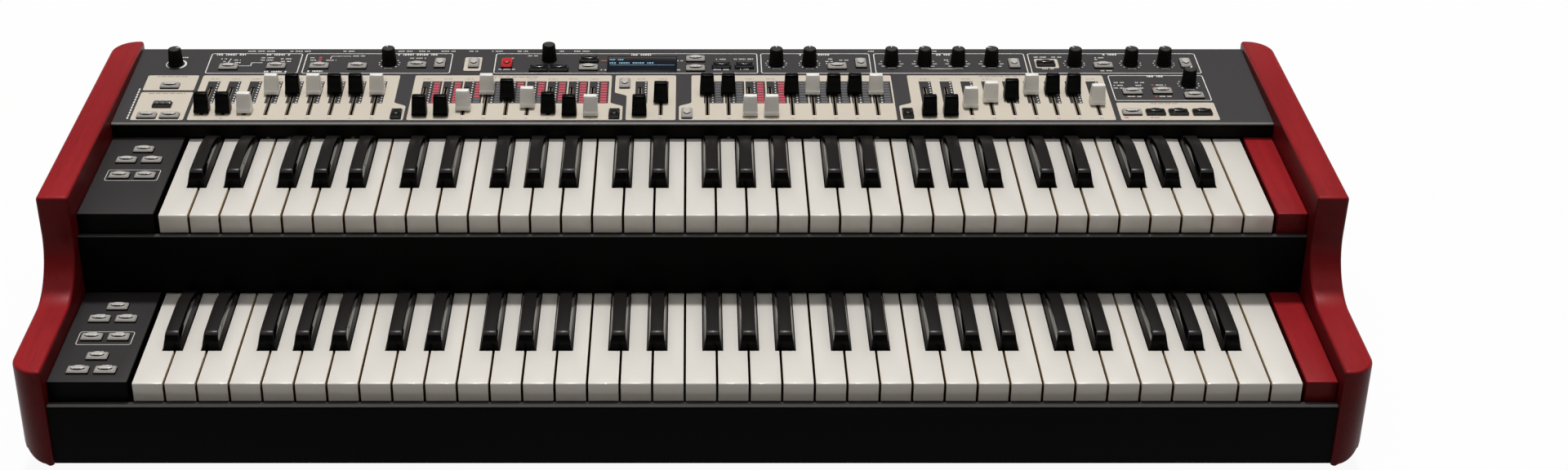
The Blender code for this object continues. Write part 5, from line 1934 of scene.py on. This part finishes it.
REAR_CAPTIONS: tuple[Point2, ...] = (
    (-364.5, 24.0), (-332.0, 17.5), (-290.6, 10.5), (-243.0, 12.2), (-226.5, 10.0), (-206.2, 13.0),
    (-185.0, 8.3), (-164.2, 11.0), (-143.4, 9.8), (-110.3, 4.3), (-93.0, 14.2), (151.4, 5.2),
    (191.4, 4.0), (205.0, 3.6),
)
TITLES: tuple[Point3, ...] = (
    (-388.9, 120.4, 26.2), (-349.3, 120.4, 21.0), (-231.5, 120.4, 34.4), (-42.4, 120.2, 18.4),
    (103.0, 120.4, 25.5), (212.7, 120.4, 13.5), (352.8, 120.6, 12.2), (384.1, 80.4, 13.2),
)
LIGHT_CAPTIONS: tuple[Point3, ...] = (
    (-427.0, 115.2, 5.8), (-394.0, 112.8, 5.6), (-392.8, 107.8, 3.2), (-382.4, 110.4, 6.8),
    (-381.5, 105.8, 5.6), (-357.7, 114.8, 11.8), (-357.3, 110.4, 12.2), (-342.0, 112.8, 9.6),
    (-341.5, 108.0, 9.2), (-319.1, 114.8, 6.0), (-318.5, 110.2, 6.0), (-303.5, 110.2, 9.2),
    (-281.2, 118.0, 10.4), (-231.2, 114.0, 13.8), (-134.6, 118.4, 8.4), (-151.3, 114.0, 2.8),
    (-155.1, 93.4, 14.0), (-74.1, 92.4, 5.0), (-10.2, 109.2, 5.0), (-10.2, 92.4, 5.0),
    (24.3, 112.0, 9.0), (43.6, 112.3, 17.4), (24.1, 92.8, 12.6), (43.5, 93.8, 7.6),
    (116.6, 112.4, 4.4), (115.2, 107.8, 6.6), (115.2, 104.0, 6.2), (127.7, 110.2, 8.0),
    (126.7, 105.2, 8.4), (213.6, 110.6, 3.8), (293.9, 115.9, 12.2), (307.2, 115.9, 9.0),
    (297.4, 94.4, 10.0), (343.3, 114.8, 8.4), (340.1, 111.6, 2.8), (345.6, 90.8, 10.4),
    (352.6, 69.4, 8.6), (351.8, 64.4, 8.6), (351.1, 59.6, 8.6), (369.7, 69.4, 7.6), (369.1, 64.4, 7.2),
    (368.5, 59.6, 6.8), (386.9, 65.0, 9.4), (361.9, 44.8, 11.8), (387.2, 44.8, 10.2),
)
BOXED_CAPTIONS: tuple[Point3, ...] = (
    (-348.0, 89.2, 18.8), (-313.1, 90.0, 16.4),
)
GREY_CAPTIONS: tuple[Point3, ...] = (
    (-431.2, 80.2, 26.0), (-430.2, 50.2, 31.0), (-146.0, 79.4, 38.0), (255.2, 80.8, 34.2),
    (384.5, 32.4, 23.0), (374.1, 8.3, 5.4),
)
RED_MARKS: tuple[Point3, ...] = (
    (-313.4, 115.4, 2.4), (-313.4, 112.0, 2.4), (-313.4, 108.6, 2.4), (379.6, 65.0, 1.8),
    (379.4, 44.8, 2.0), (349.4, 8.3, 3.2), (369.7, 8.3, 1.6),
)


KNOBS: tuple[Knob, ...] = (
    Knob("knob_volume", LEFT + 0.0329, 0.1030, 60, KnobStyle.WEDGE),
    Knob("knob_drive", LEFT + 0.2116, 0.1045, -25),
    Knob("dial_program", LEFT + 0.3455, 0.1115, 0, KnobStyle.ENDLESS),
    Knob("knob_effect_rate", LEFT + 0.5363, 0.1036, 0),
    Knob("knob_effect_amount", LEFT + 0.5642, 0.1036, 0),
    Knob("knob_eq_bass", LEFT + 0.6326, 0.1036, 0, KnobStyle.DASHED),
    Knob("knob_eq_middle_frequency", LEFT + 0.6606, 0.1036, -45, KnobStyle.DASHED),
    Knob("knob_eq_middle", LEFT + 0.6886, 0.1036, 20, KnobStyle.DASHED),
    Knob("knob_eq_treble", LEFT + 0.7166, 0.1036, -65, KnobStyle.DASHED),
    Knob("knob_delay_tempo", LEFT + 0.7864, 0.1036, -43),
    Knob("knob_delay_feedback", LEFT + 0.8335, 0.1036, -40),
    Knob("knob_delay_mix", LEFT + 0.8615, 0.1036, -32),
    Knob("knob_reverb_mix", LEFT + 0.8755, 0.0660, 25),
)


class ControlPanel:
    """The dark sheet that carries the drawbars, knobs, buttons and display."""

    def __init__(self, sheet: bpy.types.Object) -> None:
        """Holds the frame's node, whose openings the sheet keeps."""
        self.sheet = sheet

    def build(self) -> None:
        """Builds the sheet, its print and everything that it carries."""
        piece = Piece("control_panel_sheet")
        # painted highlight on the fold, painted shade on the faces below it
        piece.add(
            Solid.copy_of(self.sheet),
            F.panel_paint,
            others=[
                (F.panel_painted_fold_highlight, lambda face: face.normal.y < -0.12 and face.normal.z > 0.5),
                (F.panel_painted_shade, lambda face: face.normal.y < -0.12 and face.normal.z <= 0.5),
            ],
        )
        piece.done(replaces=["control_panel"], slot="panel_paint", angle=30)
        drawbars = DrawbarSet()
        self.slot_lips(drawbars)
        PanelPrint(drawbars).build()
        drawbars.build()
        for knob in KNOBS:
            knob.build()
        PanelButtons().build()
        Display().build()

    def slot_lips(self, drawbars: DrawbarSet) -> None:
        """Lines each slot with brush lips that leave room for the stem.

        Args:
            drawbars: The drawbars, which give the slots' places.
        """
        piece = Piece("slot_brush_lips")
        outer, inner = 0.00138, 0.00085
        for bar in drawbars.drawbars():
            for side in (-1, 1):
                low, high = sorted((bar.x + side * inner, bar.x + side * outer))
                piece.block((low, 0.0127, -0.0016), (high, 0.0603, -0.0002), F.slot_lip)
        piece.done(PANEL, slot="rubber")


@dataclass
class RightBlock:
    """The lacquered wooden block right of a keyboard."""

    manual: str
    front: float
    key_top: float
    left: float = KEYBOARD_LEFT + WHITE_KEYS * KEY_PITCH + 0.0018

    def build(self) -> None:
        """Shapes the block and lacquers it."""
        low = (self.left, self.front, self.key_top - BLOCK_DROP)
        high = (RIGHT - GAP, self.front + KEY_LENGTH, self.key_top + BLOCK_RISE)
        piece = Piece(f"{self.manual}_right_block_lacquered")
        piece.add(Solid.block(low, high).eased(0.0012, 3), F.lacquer)
        piece.done(replaces=[f"{self.manual}_right_block"], slot="red_lacquer")


class Rear:
    """The rear panel with its sockets, mains inlet, switch and screws."""

    face = 0.197
    centre_height = 0.070
    socket_left = LEFT + 0.150
    pitch = 0.030
    pin_circle = 0.0038

    def socket(self, index: float) -> float:
        """Returns the place in X of a socket of the row."""
        return self.socket_left + index * self.pitch

    def build(self) -> None:
        """Adds nuts, contacts, screws and marks to what the solids give."""
        self.nuts()
        self.contacts()
        self.screws()
        self.marks()

    def nuts(self) -> None:
        """Adds the ring nut of each jack and the metal shell of the data socket."""
        piece = Piece("rear_socket_nuts")
        section = [(0.0078, 0.0011), (0.0082, 0.0007), (0.0082, 0.0001), (0.0065, 0.0001), (0.0065, 0.0011)]
        for index in range(4):
            ring = Solid.turned([*section, section[0]], 6)
            place = Matrix.Translation((self.socket(index), self.face, self.centre_height)) @ TO_THE_REAR
            piece.add(ring, F.steel, place)
        piece.done(slot="zinc_steel", angle=25)

    def contacts(self) -> None:
        """Adds the contacts inside the mains inlet, the USB socket and the data socket."""
        piece = Piece("rear_contacts")
        inlet_x = RIGHT - 0.085 - 0.0115
        for dx, dz in ((-0.0062, -0.002), (0.0062, -0.002), (0.0, 0.0028)):
            x, z = inlet_x + dx, self.centre_height + dz
            piece.block((x - 0.0010, 0.1832, z - 0.0020), (x + 0.0010, 0.1945, z + 0.0020), F.steel, 0.0003)
        x = self.socket(5)
        piece.block((x - 0.0022, 0.1880, 0.0690), (x + 0.0022, 0.1975, 0.0710), F.brass, 0.0003)
        for angle in map(math.radians, range(0, 181, 45)):
            x = self.socket(4) + self.pin_circle * math.cos(angle)
            z = self.centre_height + self.pin_circle * math.sin(angle) - 0.001
            pin = Solid.turned([(0, 0.004), (0.0006, 0.0036), (0.0006, 0.0), (0, 0)], 8)
            piece.add(pin, F.brass, Matrix.Translation((x, 0.1890, z)) @ TO_THE_REAR)
        piece.done(slot="zinc_steel")

    def screws(self) -> None:
        """Adds the pan head screws along the rear panel."""
        piece = Piece("rear_panel_screws")
        for x in (-0.44, -0.22, 0.0, 0.22, 0.44):
            for z in (0.016, 0.128):
                place = Matrix.Translation((x, self.face, z)) @ TO_THE_REAR
                piece.add(screw_head(0.0030, 0.0014), F.steel, place)
        piece.done(slot="zinc_steel")

    def marks(self) -> None:
        """Prints short plain captions over the sockets and a frame round the row."""
        wall = Matrix.Translation((0, self.face, 0)) @ FACING_REAR
        light = Print("rear_captions", F.light_ink, place=wall)
        for index in range(6):
            light.caption(-self.socket(index) / MM, 84.5, 15.0, 1.4)
        light.frame(-self.socket(5.5) / MM, 55.0, -self.socket(-0.5) / MM, 88.0, 0.5, 2.5)
        light.done()


NODE_FINISHES: dict[str, Finish] = {
    "rear_panel": F.black_paint,
    "connector_row": F.plastic,
    "mains_inlet": F.plastic,
    "power_switch": F.plastic,
    "bottom_plate": F.aluminium,
    "upper_keybed": F.black_paint,
    "lower_keybed": F.black_paint,
    "panel_board": F.board,
    "main_board": F.board,
    "power_supply": F.steel,
}


def paint_nodes(nodes: dict[str, bpy.types.Object]) -> None:
    """Gives the nodes of the frame that stay in view, or inside the case, their finishes.

    Args:
        nodes: The frame's objects by name.
    """
    for name, finish in NODE_FINISHES.items():
        materials = nodes[name].data.materials
        materials.clear()
        materials.append(finish.material())


def screw_head(radius: float, height: float) -> Solid:
    """Shapes a pan head with a cross recess, standing on z 0.

    Args:
        radius: The head's radius.
        height: Its height.

    Returns:
        The head.
    """
    shares = ((0.0, 1.0), (0.55, 0.96), (0.85, 0.72), (1.0, 0.3), (1.0, 0.0), (0.0, 0.0))
    head = Solid.turned([(across * radius, up * height) for across, up in shares], 20)
    arm, half, deep = 0.55 * radius, 0.15 * radius, 0.45 * height
    across = Solid.block((-arm, -half, height - deep), (arm, half, height + deep))
    along = Solid.block((-half, -arm, height - deep), (half, arm, height + deep))
    return head.without(across, along)


class Underside:
    """The bottom plate's screws and the rubber feet."""

    plate_low = 0.008
    foot_x = 0.436
    foot_y = 0.170
    screw_level = 0.0031
    profile: tuple[Point2, ...] = (
        (0, 0.0077), (0.0120, 0.0077), (0.0120, 0.0042), (0.0117, 0.0024), (0.0112, 0.0010), (0.0104, 0.0002),
        (0.0098, 0.0), (0.0045, 0.0), (0.0042, 0.0008), (0.0042, 0.0030), (0, 0.0030),
    )

    def screw(self) -> Solid:
        """Returns a screw head that looks down."""
        return screw_head(0.0030, 0.0012).placed(Matrix.Rotation(math.pi, 4, "X"))

    def build(self) -> None:
        """Sets the plate's screws and the feet, each with a screw of its own."""
        piece = Piece("bottom_plate_screws")
        for x in (-0.45, -0.225, 0.0, 0.225, 0.45):
            for y in (-0.185, 0.0, 0.18):
                piece.add(self.screw(), F.steel, Matrix.Translation((x, y, self.plate_low)))
        piece.done(slot="zinc_steel")
        for row, y in (("front", -self.foot_y), ("rear", self.foot_y)):
            for side, x in (("left", -self.foot_x), ("right", self.foot_x)):
                name = f"foot_{row}_{side}"
                foot = Piece(f"{name}_rubber")
                foot.add(Solid.turned(self.profile, 40), F.rubber, Matrix.Translation((x, y, 0)))
                foot.add(self.screw(), F.steel, Matrix.Translation((x, y, self.screw_level)))
                foot.done(replaces=[name], slot="rubber")


@dataclass
class Studio:
    """The pale floor, the soft overhead light and the camera."""

    floor_size: float = 60.0
    floor_glow: float = 0.93
    floor_seen: float = 66
    floor_unseen: float = 52
    key_strength: float = 2.2
    key_tilt: float = 17.8
    key_angle: float = 6.0
    fill_strength: float = 1.05
    fill_angle: float = 92.0
    horizon: float = 0.85
    ceiling: float = 0.07
    horizon_rise: float = 0.3
    room_tint: tuple[float, float, float, float] = (1.0, 0.94, 0.85, 1.0)
    lamp_height: float = 3.0
    lens: float = 54.09
    shift_x: float = 0.0584
    viewpoint: Point3 = (0.0, -1.627, 0.989)
    camera_tilt: float = 61.0

    def build(self) -> None:
        """Builds the studio."""
        self.floor()
        self.world()
        self.lamps()
        self.camera()

    def floor(self) -> None:
        """Lays the floor, which shows white to the camera and keeps the shadow."""
        bm = bmesh.new()
        bmesh.ops.create_grid(bm, x_segments=1, y_segments=1, size=self.floor_size / 2)
        mesh = bpy.data.meshes.new("floor")
        bm.to_mesh(mesh)
        bm.free()
        floor = bpy.data.objects.new("floor", mesh)
        bpy.context.scene.collection.objects.link(floor)
        material = bpy.data.materials.new("pale floor")
        material.use_nodes = True
        tree = material.node_tree
        tree.nodes.clear()
        build = NodeBuilder(tree)
        path = build.add("ShaderNodeLightPath")
        seen = build.maths("MAXIMUM", path.outputs["Is Camera Ray"], path.outputs["Is Glossy Ray"])
        seen = build.maths("MAXIMUM", seen, path.outputs["Is Transmission Ray"])
        glow = build.add("ShaderNodeEmission", Color=(1, 1, 1, 1), Strength=self.floor_glow).outputs[0]
        lit, dim = (
            build.add("ShaderNodeBsdfDiffuse", Color=shade(level, level, level)).outputs[0]
            for level in (self.floor_seen, self.floor_unseen)
        )
        shown = build.chain("ShaderNodeAddShader", lit, glow)
        build.add("ShaderNodeOutputMaterial", Surface=build.chain("ShaderNodeMixShader", seen, dim, shown))
        mesh.materials.append(material)

    def world(self) -> None:
        """Sets a soft grey room, paler towards the horizon."""
        world = bpy.data.worlds.new("studio")
        bpy.context.scene.world = world
        world.use_nodes = True
        world.node_tree.nodes.clear()
        build = NodeBuilder(world.node_tree)
        direction = build.add("ShaderNodeTexCoord").outputs["Generated"]
        apart = build.add("ShaderNodeSeparateXYZ", Vector=direction)
        level = build.add(
            "ShaderNodeMapRange",
            {"interpolation_type": "SMOOTHSTEP"},
            Value=apart.outputs["Z"],
            From_Min=0.0,
            From_Max=self.horizon_rise,
            To_Min=self.horizon,
            To_Max=self.ceiling,
        )
        room = build.add("ShaderNodeBackground", Color=self.room_tint, Strength=level.outputs["Result"])
        build.add("ShaderNodeOutputWorld", Surface=room.outputs[0])

    def lamps(self) -> None:
        """Hangs a wide soft light straight above and a narrower one above and behind."""
        for name, strength, angle, tilt in (
            ("soft overhead light", self.fill_strength, self.fill_angle, 0.0),
            ("light from above and behind", self.key_strength, self.key_angle, self.key_tilt),
        ):
            data = bpy.data.lights.new(name, "SUN")
            data.energy = strength
            data.angle = math.radians(angle)
            lamp = bpy.data.objects.new(name, data)
            lamp.location = (0, 0, self.lamp_height)
            lamp.rotation_euler = (-math.radians(tilt), 0, 0)
            bpy.context.scene.collection.objects.link(lamp)

    def camera(self) -> None:
        """Sets the camera where the photograph was seen from."""
        data = bpy.data.cameras.new("camera")
        data.sensor_width = 36.0
        data.sensor_fit = "HORIZONTAL"
        data.lens = self.lens
        data.shift_x = self.shift_x
        data.clip_start = 0.05
        data.clip_end = 200
        camera = bpy.data.objects.new("camera", data)
        camera.location = self.viewpoint
        camera.rotation_euler = (math.radians(self.camera_tilt), 0, 0)
        bpy.context.scene.collection.objects.link(camera)
        bpy.context.scene.camera = camera
        bpy.context.scene.view_settings.view_transform = "Standard"


UPPER_ROWS = ((0.1052, 1), (0.0869, 2), (0.0606, 2))
LOWER_ROWS = ((0.1044, 1), (0.0864, 2), (0.0602, 2), (0.0333, 1), (0.0144, 2))


def main() -> None:
    """Builds every sub-assembly in order."""
    logging.basicConfig(level=logging.INFO, format="%(name)s: %(message)s")
    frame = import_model()
    nodes = frame["nodes"]
    Studio().build()
    Cheek("cheek_left", -1).build()
    Cheek("cheek_right", 1).build()
    FoldedSheet("front_rail", -0.202, 0.0083, 0.0574, 0.0062, foot=0.014).build()
    FoldedSheet("middle_fascia", -0.067, 0.0750, 0.1230, 0.004).build()
    for manual, front, top, rows, outlines in (
        ("lower", LOWER_KEY_FRONT, LOWER_KEY_TOP, LOWER_ROWS, ((-456.6, -142.8, -415.6, -124.2),)),
        ("upper", UPPER_KEY_FRONT, UPPER_KEY_TOP, UPPER_ROWS, ((-456.9, -7.6, -415.6, 10.7),)),
    ):
        Keyboard(manual, front, top).build()
        LeftBlock(manual, front, top, rows, outlines).build()
        RightBlock(manual, front, top).build()
    ControlPanel(nodes["control_panel"]).build()
    Rear().build()
    Underside().build()
    paint_nodes(nodes)
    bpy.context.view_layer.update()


if __name__ == "__main__":
    main()
